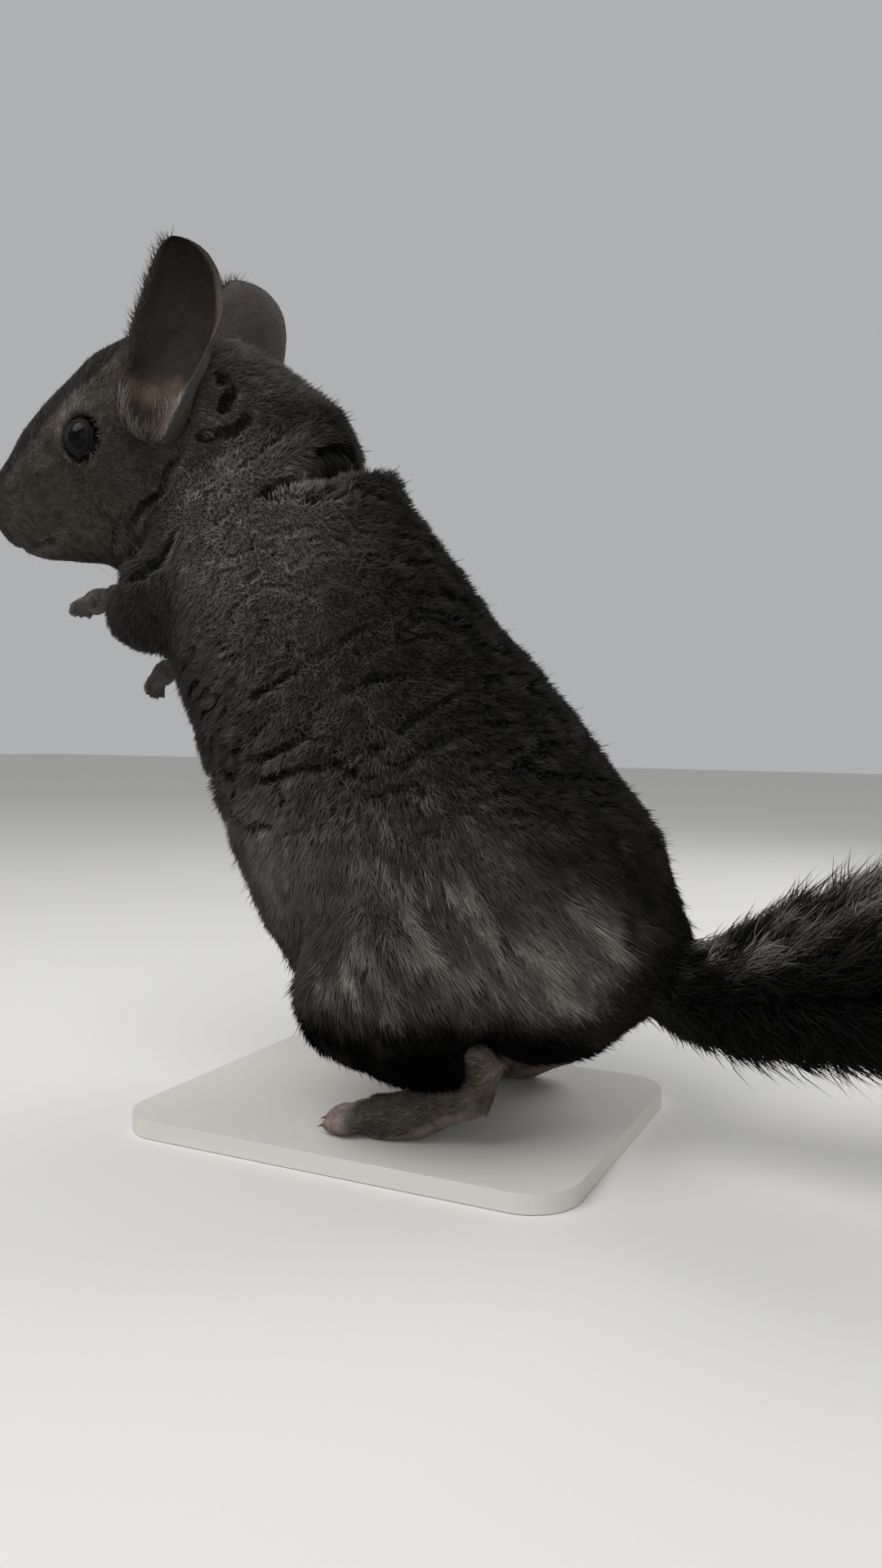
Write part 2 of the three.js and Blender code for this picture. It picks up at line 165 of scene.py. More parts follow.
# Lie of the coat: place, way the hair points, its length and how far its tips stand off the skin
TRUNK_LIE = [
    (0, -28, 188, 0, 0.62, -0.78, 5, 3.4),
    (0, 2, 150, 0, 0.5, -0.86, 4.6, 3.0),
    (0, 32, 110, 0, 0.45, -0.9, 4.8, 3.0),
    (0, 55, 76, 0, 0.35, -0.93, 5.5, 3.2),
    (0, 62, 52, 0, 0.8, -0.55, 7, 3.4),
    (40, -50, 165, 0.05, 0.5, -0.86, 4.2, 3.0),
    (47, -30, 130, 0.05, 0.38, -0.92, 4.4, 3.0),
    (53, -15, 95, 0, 0.3, -0.95, 5, 3.1),
    (54, 0, 70, 0, 0.42, -0.9, 6.5, 3.2),
    (50, 25, 50, 0, 0.62, -0.78, 8, 3.2),
    (40, 45, 45, -0.1, 0.7, -0.7, 8.5, 3.4),
    (28, 34, 30, -0.2, 0.8, -0.5, 8, 3.0),
    (45, -25, 42, 0, 0.4, -0.9, 6, 3.0),
    (38, -22, 22, 0, 0.5, -0.85, 5, 2.4),
    (33, 5, 18, 0, 0.5, -0.85, 5, 1.8),
    (30, 18, 22, 0, -0.2, -1, 3, 0.8),
    (0, 25, 22, 0, 1, 0, 6, 2.4),
    (0, -112, 140, 0, 0.25, -0.97, 5, 3.2),
    (0, -95, 105, 0, 0.3, -0.95, 5, 3.4),
    (0, -78, 70, 0, 0.35, -0.93, 5.5, 3.6),
    (0, -52, 35, 0, 0.7, -0.7, 6, 3.2),
    (35, -82, 112, 0, 0.3, -0.95, 4.8, 3.2),
    (42, -60, 85, 0, 0.3, -0.95, 5, 3.4),
    (36, -88, 142, 0.1, 0.1, -1, 4, 2.0),
    (26, -96, 142, 0, -0.9, -0.4, 3.2, 1.2),
    (24, -106, 146, 0, -1, 0, 2, 0.5),
    (-15, -113, 131, 0.1, -0.8, -0.6, 2, 0.5),
    (-18, -104, 134, 0.1, -0.9, -0.4, 3.2, 1.2),
    (0, 64, 42, 0, 1, -0.05, 9, 4.0),
    (0, 80, 41, 0, 1, 0.05, 14, 6.5),
    (-1, 100, 46, 0, 1, 0.15, 19, 8.5),
    (-3, 128, 55, 0, 0.94, 0.33, 21, 9.5),
    (-5, 156, 68, 0, 0.9, 0.43, 20, 8.5),
    (-7, 172, 78, 0, 0.9, 0.45, 14, 5.0),
]
HEAD_LIE = [
    (66, 0, 4, -0.8, 0, 0.6, 1.2, 0.4),
    (60, 9, -6, -0.9, 0.4, -0.1, 1.6, 0.6),
    (50, 0, 17, -1, 0, 0.25, 2.0, 0.8),
    (36, 0, 24, -1, 0, 0.15, 2.5, 1.1),
    (15, 0, 35, -1, 0, 0, 3.2, 1.5),
    (-5, 12, 33, -1, 0.2, 0, 3.8, 2.0),
    (-30, 0, 16, -0.75, 0, -0.6, 4.8, 2.9),
    (-46, 0, -8, -0.3, 0, -0.95, 5, 3.4),
    (33, 22, 12, -0.9, 0.2, 0.3, 1.6, 0.6),
    (12, 27, 8, -0.95, 0.2, -0.1, 2.6, 1.1),
    (45, 18, -8, -0.95, 0.2, -0.25, 2.0, 0.8),
    (28, 27, -12, -0.85, 0.1, -0.5, 2.8, 1.4),
    (10, 30, -15, -0.7, 0, -0.7, 3.8, 2.1),
    (-10, 30, -8, -0.7, 0, -0.7, 4.2, 2.6),
    (-30, 24, -8, -0.55, 0, -0.8, 4.6, 3.0),
    (52, 0, -24, -1, 0, -0.25, 1.8, 0.6),
    (32, 0, -36, -0.8, 0, -0.6, 3.2, 1.5),
    (12, 0, -42, -0.5, 0, -0.85, 4.6, 2.6),
    (0, 24, 24, -0.4, 0.4, 0.8, 2.6, 1.0),
]


def guides():
    """The lie tables in one frame, with each row off the middle also mirrored to the other side."""
    rows = []
    for x, y, z, dx, dy, dz, length, rise in TRUNK_LIE:
        for m in (1, -1) if x > 5 else (1,):
            rows.append([m * x, y, z, m * dx, dy, dz, length, rise])
    for f, l, u, df, dl, du, length, rise in HEAD_LIE:
        for m in (1, -1) if l else (1,):
            rows.append([*in_head(f, m * l, u), *head_way(df, m * dl, du), length, rise])
    return np.array(rows)


GUIDES = guides()


def lie_at(places):
    """Way, length and rise of the hair: the guides' mean, weighted by distance to the power of minus four."""
    out = np.empty((len(places), 5))
    for i in range(0, len(places), 20000):
        p = places[i : i + 20000]
        d2 = ((p[:, None, :] - GUIDES[None, :, :3]) ** 2).sum(2)
        w = 1 / (d2 + 16) ** 2
        out[i : i + 20000] = (w @ GUIDES[:, 3:]) / w.sum(1, keepdims=True)
    return unit(out[:, :3]), out[:, 3], out[:, 4]


# Folds where the coat parts, on the left side: places along each, how wide and how deep it is
SIDE_FOLDS = [
    (
        [(47, -50, 112), (47, -36, 120), (46, -27, 125), (42, -20, 130), (38, -16, 134), (32, -9, 137)],
        0.56, 2.6,
    ),
    ([(46, -18, 118), (44, -12, 119), (41, -8, 122), (38, -2, 122)], 0.60, 2.6),
    ([(41, -16, 128), (39, -11, 129), (35, -8, 131)], 0.45, 2.0),
    ([(47, -47, 99), (50, -34, 102), (50, -28, 105), (49, -21, 109)], 0.60, 2.6),
    ([(47, -46, 92), (50, -34, 96), (52, -25, 98), (51, -16, 99), (51, -8, 97), (49, -1, 97)], 0.64, 2.8),
    ([(49, -1, 97), (47, 3, 100), (43, 7, 105), (38, 13, 108), (32, 17, 110)], 0.56, 2.4),
    ([(50, -13, 102), (49, -7, 103), (47, -2, 105), (41, 3, 112), (36, 8, 116), (30, 11, 118)], 0.56, 2.4),
    ([(52, -10, 90), (50, 0, 94), (48, 6, 95), (47, 12, 92)], 0.60, 1.6),
    ([(22, -58, 199), (26, -63, 193), (29, -69, 190), (31, -76, 189)], 0.98, 2.8),
    (
        [(31, -76, 189), (31, -82, 183), (30, -86, 177), (30, -93, 173), (29, -98, 168), (27, -102, 165)],
        0.56, 2.2,
    ),
    ([(31, -98, 173), (30, -102, 168), (26, -107, 163), (23, -109, 160)], 0.41, 1.8),
    ([(25, -70, 212), (26, -66, 207), (25, -65, 204), (28, -67, 197)], 1.35, 3.4),
    ([(17, -53, 197), (20, -52, 191), (28, -57, 184), (32, -61, 178)], 0.49, 2.0),
    ([(12, -30, 182), (22, -31, 174), (27, -35, 172), (31, -40, 169)], 0.90, 2.4),
    ([(34, -67, 173), (36, -66, 167)], 0.52, 2.0),
    ([(37, -44, 159), (38, -41, 156), (37, -37, 154)], 0.45, 1.8),
    ([(41, -50, 147), (40, -44, 151)], 0.45, 1.8),
    ([(41, -90, 150), (41, -84, 151), (36, -80, 157), (33, -76, 163)], 1.20, 2.6),
    ([(38, -66, 103), (44, -54, 97), (46, -46, 92)], 0.60, 2.0),
    ([(40, -58, 86), (46, -44, 82), (50, -32, 83)], 0.60, 1.8),
]
# Folds that cross the middle of the nape and of the belly
CROSS_FOLDS = [
    ([(-22, -44, 181), (-8, -34, 189), (5, -30, 190), (14, -33, 188), (22, -38, 182)], 4.6, 11.0),
    ([(14, -37, 188), (25, -40, 179), (30, -45, 175), (33, -52, 173)], 1.8, 4.0),
    ([(-12, -37, 188), (-23, -42, 180), (-29, -49, 174)], 1.6, 3.5),
    ([(-34, -68, 94), (-16, -80, 91), (2, -84, 91), (22, -76, 92), (36, -66, 94)], 2.6, 5.0),
    ([(-30, -64, 76), (-12, -76, 76), (6, -78, 77), (26, -68, 79), (38, -58, 82)], 2.2, 4.0),
]
# Lines of the mouth on both sides, and the split of the upper lip below the nose
MOUTH = ((66, 0, -13), (60, 7, -17.5), (53, 12, -19), (46, 15.5, -17.5))
FACE_FOLDS = [([in_head(f, m * l, u) for f, l, u in MOUTH], 0.8, 2.0) for m in (1, -1)]
FACE_FOLDS.append(([in_head(69, 0, -5), in_head(68, 0, -9), in_head(66, 0, -13.5)], 0.6, 1.6))
# Soft swellings: centre, radius and height
SWELLINGS = [
    ((3, -43, 200), 8, 3.2),
    ((5, -21, 182), 7.5, 5.0),
    ((2, -82, 84), 7, 2.0),
    ((44, -10, 108), 10, 0.8),
    ((-44, -8, 106), 10, 0.8),
    ((54, 0, 62), 16, 1.2),
    ((-54, 6, 62), 16, 1.2),
]


def fold_samples():
    """The folds as points a step apart, thinning out at both ends, and a mirrored, slightly moved set."""
    rows = []
    for places, width, depth in SIDE_FOLDS + CROSS_FOLDS + FACE_FOLDS:
        p = np.array(places, float)
        step = np.concatenate([[0], np.cumsum(np.linalg.norm(np.diff(p, axis=0), axis=1))])
        s = np.linspace(0, step[-1], max(int(step[-1] / FOLD_STEP), 3))
        line = np.stack([np.interp(s, step, p[:, k]) for k in range(3)], 1)
        taper = np.minimum(1, 0.3 + 4 * np.minimum(s, s[-1] - s) / s[-1])
        wave = noise(line, 5, 5)[:, None] * np.array([0.2, 0.4, 1.3])
        rows.append(np.column_stack([line + wave, width * taper, depth * taper]))
    left = np.vstack(rows[: len(SIDE_FOLDS)])
    right = left * [-1, 1, 1, 1, 0.85] + [0, 5, -3, 0, 0]
    return np.vstack([*rows, right]).astype(np.float32)


FOLD_POINTS = fold_samples()


def fold_at(places, normal):
    """Depth in mm of the nearest fold, the way out of it and its width.

    The depth is the fold's own, times a bell of distance over width. Distances are taken along the skin,
    without the part along its normal.
    """
    depth, width = np.zeros((2, len(places)))
    away = np.zeros((len(places), 3))
    width2 = FOLD_POINTS[:, 3] ** 2
    for i in range(0, len(places), 12000):
        p = places[i : i + 12000].astype(np.float32)
        d2 = (p**2).sum(1)[:, None] - 2 * p @ FOLD_POINTS[:, :3].T + (FOLD_POINTS[:, :3] ** 2).sum(1)[None]
        near = np.argmin(d2 / width2, axis=1)
        out, n = p - FOLD_POINTS[near, :3], normal[i : i + 12000]
        away[i : i + 12000] = out - 0.9 * n * (out * n).sum(1, keepdims=True)
        gap2 = (away[i : i + 12000] ** 2).sum(1)
        depth[i : i + 12000] = FOLD_POINTS[near, 4] * np.exp(-gap2 / width2[near])
        width[i : i + 12000] = FOLD_POINTS[near, 3]
    return depth, away, width


def cracks(places):
    """Short partings across the lie: where a stretched noise passes through zero, in another noise's patches.

    Gives the distance, about the noise over its slope and more outside the patches, and the way out of it.
    """
    warp = np.stack([noise(places, 6, k) for k in (81, 82)], 1)
    axes = np.array([[0, 0.92, 0.38], [0, -0.38, 0.92]])
    along = [places @ axes[k] + (1.5, 2.0)[k] * warp[:, k] for k in (0, 1)]
    q = np.column_stack([places[:, 0], *along])
    best, away = np.full(len(q), 99.0), np.zeros_like(q)
    for seed, size, span in ((83, (12, 14, 4.6), 9), (88, (5, 6, 3.2), 6)):
        value = noise(q, size, seed)
        slope = np.stack([noise(q + step, size, seed) - value for step in np.eye(3) * 0.3], 1) / 0.3
        steep = np.maximum(np.linalg.norm(slope, axis=1), 0.03)
        patch = ease(noise(places, span, seed + 1) + 0.5 * noise(places, 2.5, seed + 2), -0.05, 0.25)
        gap = np.abs(value) / steep + 2.5 * (1 - patch)
        world = slope[:, :1] * [1, 0, 0] + slope[:, 1:2] * axes[0] + slope[:, 2:] * axes[1]
        away = np.where((gap < best)[:, None], unit(world) * np.sign(value)[:, None], away)
        best = np.minimum(best, gap)
    return best, away


# The spine's line, from rump to nose, with the way to the back at each place
SPINE = np.array([
    [0, 5, 20], [0, 9, 43], [0, -3, 68], [0, -19, 88], [0, -33, 107], [0, -46, 126], [0, -59, 144],
    [0, -71, 160], [0, -80, 174], [2, -86, 186],
    in_head(0, 0, 0), in_head(25, 0, -2), in_head(50, 0, -4), in_head(69, 0, -7),
])
BACK = np.array([
    [0, 0.98, -0.1], [0, 0.97, 0.2], [0, 0.88, 0.47], *[[0, 0.82, 0.57]] * 6, [0, 0.6, 0.8],
    *[head_way(0.1, 0, 1)] * 4,
])
TAIL = np.array([
    [0, 40, 47], [0, 60, 42], [0, 80, 41], [-0.6, 95, 45], [-1.3, 111, 49], [-2.5, 128, 55], [-4, 144, 62],
    [-5.5, 158, 69], [-7, 172, 78],
])


def around(places, line, back):
    """Where places lie round a line: how far to its back, from -1 to 1, the angle and the share along it."""
    steps = np.linspace(0, len(line) - 1, 80)
    centre = np.stack([np.interp(steps, range(len(line)), line[:, k]) for k in range(3)], 1)
    up = unit(np.stack([np.interp(steps, range(len(line)), back[:, k]) for k in range(3)], 1))
    along = unit(np.gradient(centre, axis=0))
    side = np.cross(along, up)
    high, angle, share = np.empty((3, len(places)))
    for i in range(0, len(places), 20000):
        gap = places[i : i + 20000, None, :] - centre[None]
        d2 = (gap**2).sum(2)
        w = np.exp(-(d2 - d2.min(1, keepdims=True)) / 120)
        w /= w.sum(1, keepdims=True)
        u = (w * (gap * up).sum(2)).sum(1)
        s = (w * (gap * side).sum(2)).sum(1)
        high[i : i + 20000] = u / np.maximum(np.hypot(u, s), 1e-6)
        angle[i : i + 20000] = np.arctan2(s, u)
        share[i : i + 20000] = w @ steps / steps[-1]
    return high, angle, share


def tail_share(places):
    """1 on the tail and 0 on the trunk, with a soft change behind the rump."""
    return ease(places[:, 1] - 0.25 * np.abs(places[:, 2] - 44), 52, 66)


# Coat colours, as linear values
INK = np.array([0.015, 0.0145, 0.0135])
CHARCOAL = np.array([0.100, 0.095, 0.088])
ASH = np.array([0.19, 0.179, 0.166])
BROWN_GREY = np.array([0.125, 0.109, 0.093])
FROST = np.array([0.62, 0.59, 0.54])
# Pale spots over the eye, and dark ones behind and before it, in the head's frame
BROW_SPOTS = ((31, 22, 15), (26, 24, 16.5), (20, 26.5, 15), (15, 29, 11))
DARK_SPOTS = (((11, 31, 5), 5), ((8, 31, -2), 4.5), ((37, 22, 7), 3))


def mix(colour, other, share):
    return colour + (other - colour) * np.asarray(share)[:, None]


def markings(places):
    """The coat's colour at places: charcoal sides, ink back and tail, ash haunches and a brown-grey face,
    with painted light on the shoulders and painted shadow low under the thighs.
    """
    high, _, share = around(places, SPINE, BACK)
    head = to_head(places)
    on_head = ease(share, 0.66, 0.76)
    x, y, z = places.T
    side = np.abs(x)
    blotch = noise(places, 16, 11) + 0.5 * noise(places, 7, 12)
    both = np.column_stack([side, y, z])
    colour = np.tile(CHARCOAL, (len(places), 1)) * (1 + 0.12 * blotch[:, None])
    colour = mix(colour, INK, ease(high + 0.12 * blotch, 0.3, 0.95) * (1 - on_head) * 0.85)
    # Painted light: a paler ash patch on each shoulder, where it faces the lamp.
    shoulder = 1.3 * blob(both, (38, -58, 174), 26) + 0.7 * blob(both, (34, -44, 152), 22)
    colour = mix(colour, ASH * 1.25, np.clip(shoulder, 0, 1) * 0.9)
    colour = mix(colour, CHARCOAL * 0.5, ease(-high, -0.1, 0.7) * 0.85 * (1 - on_head))
    haunch = blob(both, (52, -4, 62), 24) + blob(both, (44, 30, 62), 22)
    colour = mix(colour, ASH * 0.85, np.clip(haunch, 0, 1) * 0.75)
    colour = mix(colour, ASH * 1.3, blob(both, (48, -38, 72), 18) * 0.9)
    rump = blob(both, (16, 56, 60), 20) + blob(both, (20, 44, 88), 18)
    colour = mix(colour, INK * 2.2, np.clip(rump, 0, 1) * 0.7)
    # Painted shadow: near black low down under the thighs, below about 40 mm and ahead of the tail.
    under = ease(-z - 2 * blotch, -44, -34) * ease(-y, -42, -34)
    colour = mix(colour, INK * 0.1, under * 0.99)
    # face
    colour = mix(colour, ASH * 0.75, on_head * 0.6)
    colour = mix(colour, BROWN_GREY * 1.25, on_head * ease(head[:, 0], -5, 25) * 0.85)
    top = head[:, 2] - 20 + 0.5 * (head[:, 0] - 25) + 1.2 * blotch
    colour = mix(colour, INK * 2, on_head * ease(top, -2.5, 1.5) * ease(head[:, 0], -15, 5) * 0.85)
    mirrored = head * [1, 0, 1] + np.abs(head) * [0, 1, 0]
    brow = sum(blob(mirrored, middle, 2.6) for middle in BROW_SPOTS)
    colour = mix(colour, FROST * 0.3, np.clip(brow, 0, 1) * 0.6)
    dark = sum(blob(mirrored, middle, radius) for middle, radius in DARK_SPOTS)
    colour = mix(colour, INK * 2, np.clip(dark, 0, 1) * 0.8)
    eye = np.array(EYE_PLACE)
    colour = mix(colour, INK * 2, ease(-np.linalg.norm(mirrored - eye, axis=1), -8.4, -7.0) * 0.6)
    pads = blob(mirrored, (42, 20, -14), 10) + 0.8 * blob(mirrored, (55, 14, -12), 6)
    colour = mix(colour, BROWN_GREY * 1.5, np.clip(pads, 0, 1) * 0.7)
    above_nose = ease(head[:, 0], 54, 64) * ease(head[:, 2], -10, -2)
    colour = mix(colour, BROWN_GREY * 0.5, on_head * above_nose * 0.8)
    throat = ease(-head[:, 2], 19, 27) * ease(head[:, 0], 20, 40)
    colour = mix(colour, BROWN_GREY * 0.6, on_head * throat * 0.6)
    colour = mix(colour, ASH, blob(mirrored, (-8, 29, 0), 14) * 0.8)
    # tail and forelegs
    colour = mix(colour, INK * 0.8, tail_share(places))
    limb = ease(-np.abs(z - 144), -14, -8) * ease(-y, 96, 104)
    colour = mix(colour, BROWN_GREY * 0.9, limb * (1 - on_head))
    return np.maximum(colour, 0.001)


# Meshes
def read_mesh(mesh):
    co = np.empty(len(mesh.vertices) * 3, np.float32)
    mesh.vertices.foreach_get("co", co)
    return co.reshape(-1, 3).astype(float)


def normals_of(places, quads):
    """Vertex normals: the mean of the nearby faces' normals, each the cross product of its diagonals."""
    way = np.cross(places[quads[:, 2]] - places[quads[:, 0]], places[quads[:, 3]] - places[quads[:, 1]])
    total = np.zeros_like(places)
    for k in range(4):
        for axis in range(3):
            total[:, axis] += np.bincount(quads[:, k], way[:, axis], len(places))
    return unit(total)


def smoothed(places, quads, rounds, share=0.5):
    """Each vertex moved part of the way to its neighbours' mean, as often as asked."""
    for _ in range(rounds):
        total = np.zeros_like(places)
        count = np.zeros(len(places))
        for a, b in ((0, 1), (1, 2), (2, 3), (3, 0), (1, 0), (2, 1), (3, 2), (0, 3)):
            for axis in range(3):
                total[:, axis] += np.bincount(quads[:, a], places[quads[:, b], axis], len(places))
            count += np.bincount(quads[:, a], minlength=len(places))
        places = places + share * (total / count[:, None] - places)
    return places


def joined_form(nodes, voxel, grow, rounds):
    """The CAD nodes as one closed form: each swells by grow to meet the next, and a remesh unites them."""
    verts, faces, start = [], [], 0
    for name in nodes:
        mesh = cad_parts[name].data
        co = read_mesh(mesh)
        mesh.calc_loop_triangles()
        tri = np.empty(len(mesh.loop_triangles) * 3, np.int32)
        mesh.loop_triangles.foreach_get("vertices", tri)
        same, back = np.unique(np.round(co, 6), axis=0, return_inverse=True)
        tri = back.reshape(-1)[tri].reshape(-1, 3)
        way = np.cross(same[tri[:, 1]] - same[tri[:, 0]], same[tri[:, 2]] - same[tri[:, 0]])
        normal = np.zeros_like(same)
        for k in range(3):
            for axis in range(3):
                normal[:, axis] += np.bincount(tri[:, k], way[:, axis], len(same))
        verts.append(same + unit(normal) * grow * MM)
        faces.append(tri + start)
        start += len(same)
    mesh = bpy.data.meshes.new("form")
    mesh.from_pydata(np.vstack(verts), [], np.vstack(faces))
    obj = bpy.data.objects.new("form", mesh)
    bpy.context.scene.collection.objects.link(obj)
    remesh = obj.modifiers.new("remesh", "REMESH")
    remesh.mode = "VOXEL"
    remesh.voxel_size = voxel * MM
    made = bpy.data.meshes.new_from_object(obj.evaluated_get(bpy.context.evaluated_depsgraph_get()))
    bpy.data.objects.remove(obj)
    quads = np.empty(len(made.loops), np.int32)
    made.loops.foreach_get("vertex_index", quads)
    places = read_mesh(made) / MM - ORIGIN
    quads = quads.reshape(-1, 4)
    return smoothed(places, quads, rounds), quads


def piece(name, places, faces, corners=4, smooth=True):
    """A mesh object from places in the animal's frame and faces with this many corners each."""
    mesh = bpy.data.meshes.new(name)
    faces = np.asarray(faces, np.int32)
    mesh.vertices.add(len(places))
    mesh.vertices.foreach_set("co", in_frame(places).astype(np.float32).ravel())
    mesh.loops.add(faces.size)
    mesh.loops.foreach_set("vertex_index", faces.ravel())
    mesh.polygons.add(len(faces))
    mesh.polygons.foreach_set("loop_start", np.arange(0, faces.size, corners, dtype=np.int32))
    mesh.polygons.foreach_set("use_smooth", np.full(len(faces), smooth))
    mesh.update(calc_edges=True)
    obj = bpy.data.objects.new(name, mesh)
    bpy.context.scene.collection.objects.link(obj)
    return obj


def paint(obj, name, values):
    """Stores one colour per vertex in the mesh under this name."""
    data = obj.data.color_attributes.new(name, "FLOAT_COLOR", "POINT")
    rgba = np.ones((len(values), 4), np.float32)
    rgba[:, :3] = values
    data.data.foreach_set("color", rgba.ravel())


def grid_faces(rows, columns, closed=False):
    """Quads of a rows by columns grid of points; closed joins the last column to the first."""
    i, j = np.meshgrid(np.arange(rows - 1), np.arange(columns if closed else columns - 1), indexing="ij")
    right = (j + 1) % columns
    low, high = i * columns, (i + 1) * columns
    return np.stack([low + j, low + right, high + right, high + j], -1).reshape(-1, 4)


# Skin of the trunk, head, limbs and tail
BODY_NODES = [
    "rump", "belly", "chest", "neck", "head", "hind_leg_left", "hind_leg_right", "foreleg_left",
    "foreleg_right", "tail_root", "tail_middle", "tail_tip",
]
PAW_NODES = ["hind_foot_left", "hind_foot_right", "forepaw_left", "forepaw_right"]


def face_form(places):
    """How far the face swells out in mm: whisker pads, brow, rims of the eyes and chin, with sunk sockets."""
    head = to_head(places)
    out = np.zeros(len(places))
    for m in (1, -1):
        eye = np.array([EYE_PLACE[0], m * EYE_PLACE[1], EYE_PLACE[2]])
        out += 2.2 * blob(head, (57, m * 10, -9), 7) + 0.8 * blob(head, (56, m * 3, -22), 5)
        out += 0.9 * blob(head, eye + [-2, 0, 10], 6)
        gap = np.linalg.norm(head - eye, axis=1)
        out += 0.6 * np.exp(-(((gap - 7.9) / 1.2) ** 2)) - 2.2 * ease(-gap, -7.0, -5.9)
    split = np.exp(-((head[:, 1] / 1.1) ** 2)) * ease(head[:, 0], 62, 66) * ease(-head[:, 2], 4, 8)
    return out - 0.9 * split


def body_skin():
    """Skin under the coat: the joined form, folded and shaped, then moved in by the coat's depth."""
    places, quads = joined_form([*BODY_NODES, "nose"], SKIN_CELL, 0.45, 10)
    normal = normals_of(places, quads)
    rise = lie_at(places)[2]
    fold = fold_at(places, normal)[0]
    swell = sum(height * blob(places, middle, radius) for middle, radius, height in SWELLINGS)
    lumps = np.minimum(rise, 3.5) * (0.16 * noise(places, (12, 12, 8), 21) + 0.08 * noise(places, 5, 22))
    skin = places + normal * (swell + lumps - 0.8 * fold - SKIN_DEPTH * rise + face_form(places))[:, None]
    notch = np.array(CROSS_FOLDS[0][0], float)
    along = np.linspace(0, len(notch) - 1, 40)
    notch = np.stack([np.interp(along, range(len(notch)), notch[:, k]) for k in range(3)], 1)
    near = ((places[:, None, :] - notch[None]) ** 2).sum(2).min(1)
    skin = skin - normal * (8.5 * np.exp(-near / 6.0**2))[:, None]
    for m in (1, -1):
        ahead, between = in_ear(skin, m)
        skin = skin - ear_axes(m)[4] * (np.clip(ahead + 1.5, 0, 20) * between)[:, None]
    skin = smoothed(skin, quads, 1)
    return skin, quads, normals_of(skin, quads)


def foot_place(places):
    """On the hind feet: how far behind the toes, how far from the foot's middle line, and 1 on a foot."""
    x, y, z = places.T
    left = x > 0
    return y - np.where(left, -17, -8), np.abs(x - np.where(left, 33, -33)), ease(-z, -40, -30)


# Hands: elbow, wrist, the way the fingers reach and the way the palm faces
HANDS = [
    ((29, -92, 140), (24, -107, 147), (0.05, -1, -0.12), (0, -0.1, -1)),
    ((-19, -100, 134), (-15, -115, 131), (0.1, -0.75, -0.72), (0, 0.7, -0.7)),
]


def arm_place(places):
    """How far places lie behind the nearer wrist, up the forearm, and 1 at the height of the arms."""
    behind, nearest = np.full(len(places), -20.0), np.full(len(places), 1e9)
    for elbow, wrist, _, _ in HANDS:
        gap = places - np.array(wrist, float)
        far = np.linalg.norm(gap, axis=1)
        behind = np.where(far < nearest, gap @ unit(np.array(elbow, float) - wrist), behind)
        nearest = np.minimum(nearest, far)
    return behind, ease(places[:, 2], 90, 100)


def paw_skin():
    """Skin of the feet, hands and wrists, from the CAD nodes at a fine voxel, creased between the toes.

    The forearms narrow up from the wrist by 0.4 mm per mm, so that they end inside the body's skin.
    """
    places, quads = joined_form([*PAW_NODES, "foreleg_left", "foreleg_right"], PAW_CELL, 0.25, 3)
    behind, arm = arm_place(places)
    quads = quads[((behind < 17) | (arm < 0.5))[quads].all(1)]
    kept, back = np.unique(quads, return_inverse=True)
    places, quads = places[kept], back.reshape(-1, 4)
    behind, arm = arm_place(places)
    normal = normals_of(places, quads)
    places = places - normal * (0.4 * arm * np.clip(behind - 1, 0, 12) + 0.25)[:, None]
    wrinkle = 0.12 * noise(places, (3, 1.2, 3), 31) + 0.06 * noise(places, 0.8, 32)
    behind, across, foot = foot_place(places)
    crease = foot * np.exp(-(((across - 2.9) / 0.7) ** 2)) * ease(-behind, -5, 1)
    knuckle = foot * blob(behind[:, None], (-5,), 3) * (normal[:, 2] > 0)
    skin = places + normal * (wrinkle - 0.1 - 0.7 * crease + 0.35 * knuckle)[:, None]
    skin[:, 2] = np.maximum(skin[:, 2], 0.02)
    return skin, quads, normal


# Ears
EARS = {
    1: dict(foot=(0, 25, -1), tip=(-18, 33, 48), facing=(0.3, 1, 0.15)),
    -1: dict(foot=(-5, -25, 0), tip=(-22, -33, 53), facing=(0.6, -0.8, 0.15)),
}
EAR_ROWS, EAR_COLUMNS, EAR_LOW = 70, 40, -0.06


def ear_axes(mirror):
    """The ear's foot, length, and the ways it rises, runs across and opens."""
    plan = EARS[mirror]
    foot, tip = in_head(*plan["foot"]), in_head(*plan["tip"])
    long = np.linalg.norm(tip - foot)
    rise = (tip - foot) / long
    opening = unit(head_way(*plan["facing"]))
    opening = unit(opening - rise * (opening @ rise))
    return foot, long, rise, np.cross(rise, opening), opening


def ear_curve(t):
    """Half width, roll, radius and forward shift of the ear at share t of its height."""
    half = 16 * (0.62 + 0.38 * ease(t, 0, 0.65)) * np.sqrt(np.clip(1.0005 - np.clip(t, 0, 1) ** 5, 0, 1))
    half = half * np.sqrt(np.clip(1.001 - (np.clip(0.15 - t, 0, 1) / (0.15 - EAR_LOW)) ** 2, 0, 1))
    up = np.maximum(t, 0) * 1.4
    roll = 2.0 - 1.5 * up / (1 + up**5) ** 0.2
    return half, roll, half / np.sin(np.minimum(roll, math.pi / 2)), 4.5 * ease(-t, -0.5, 0.02)


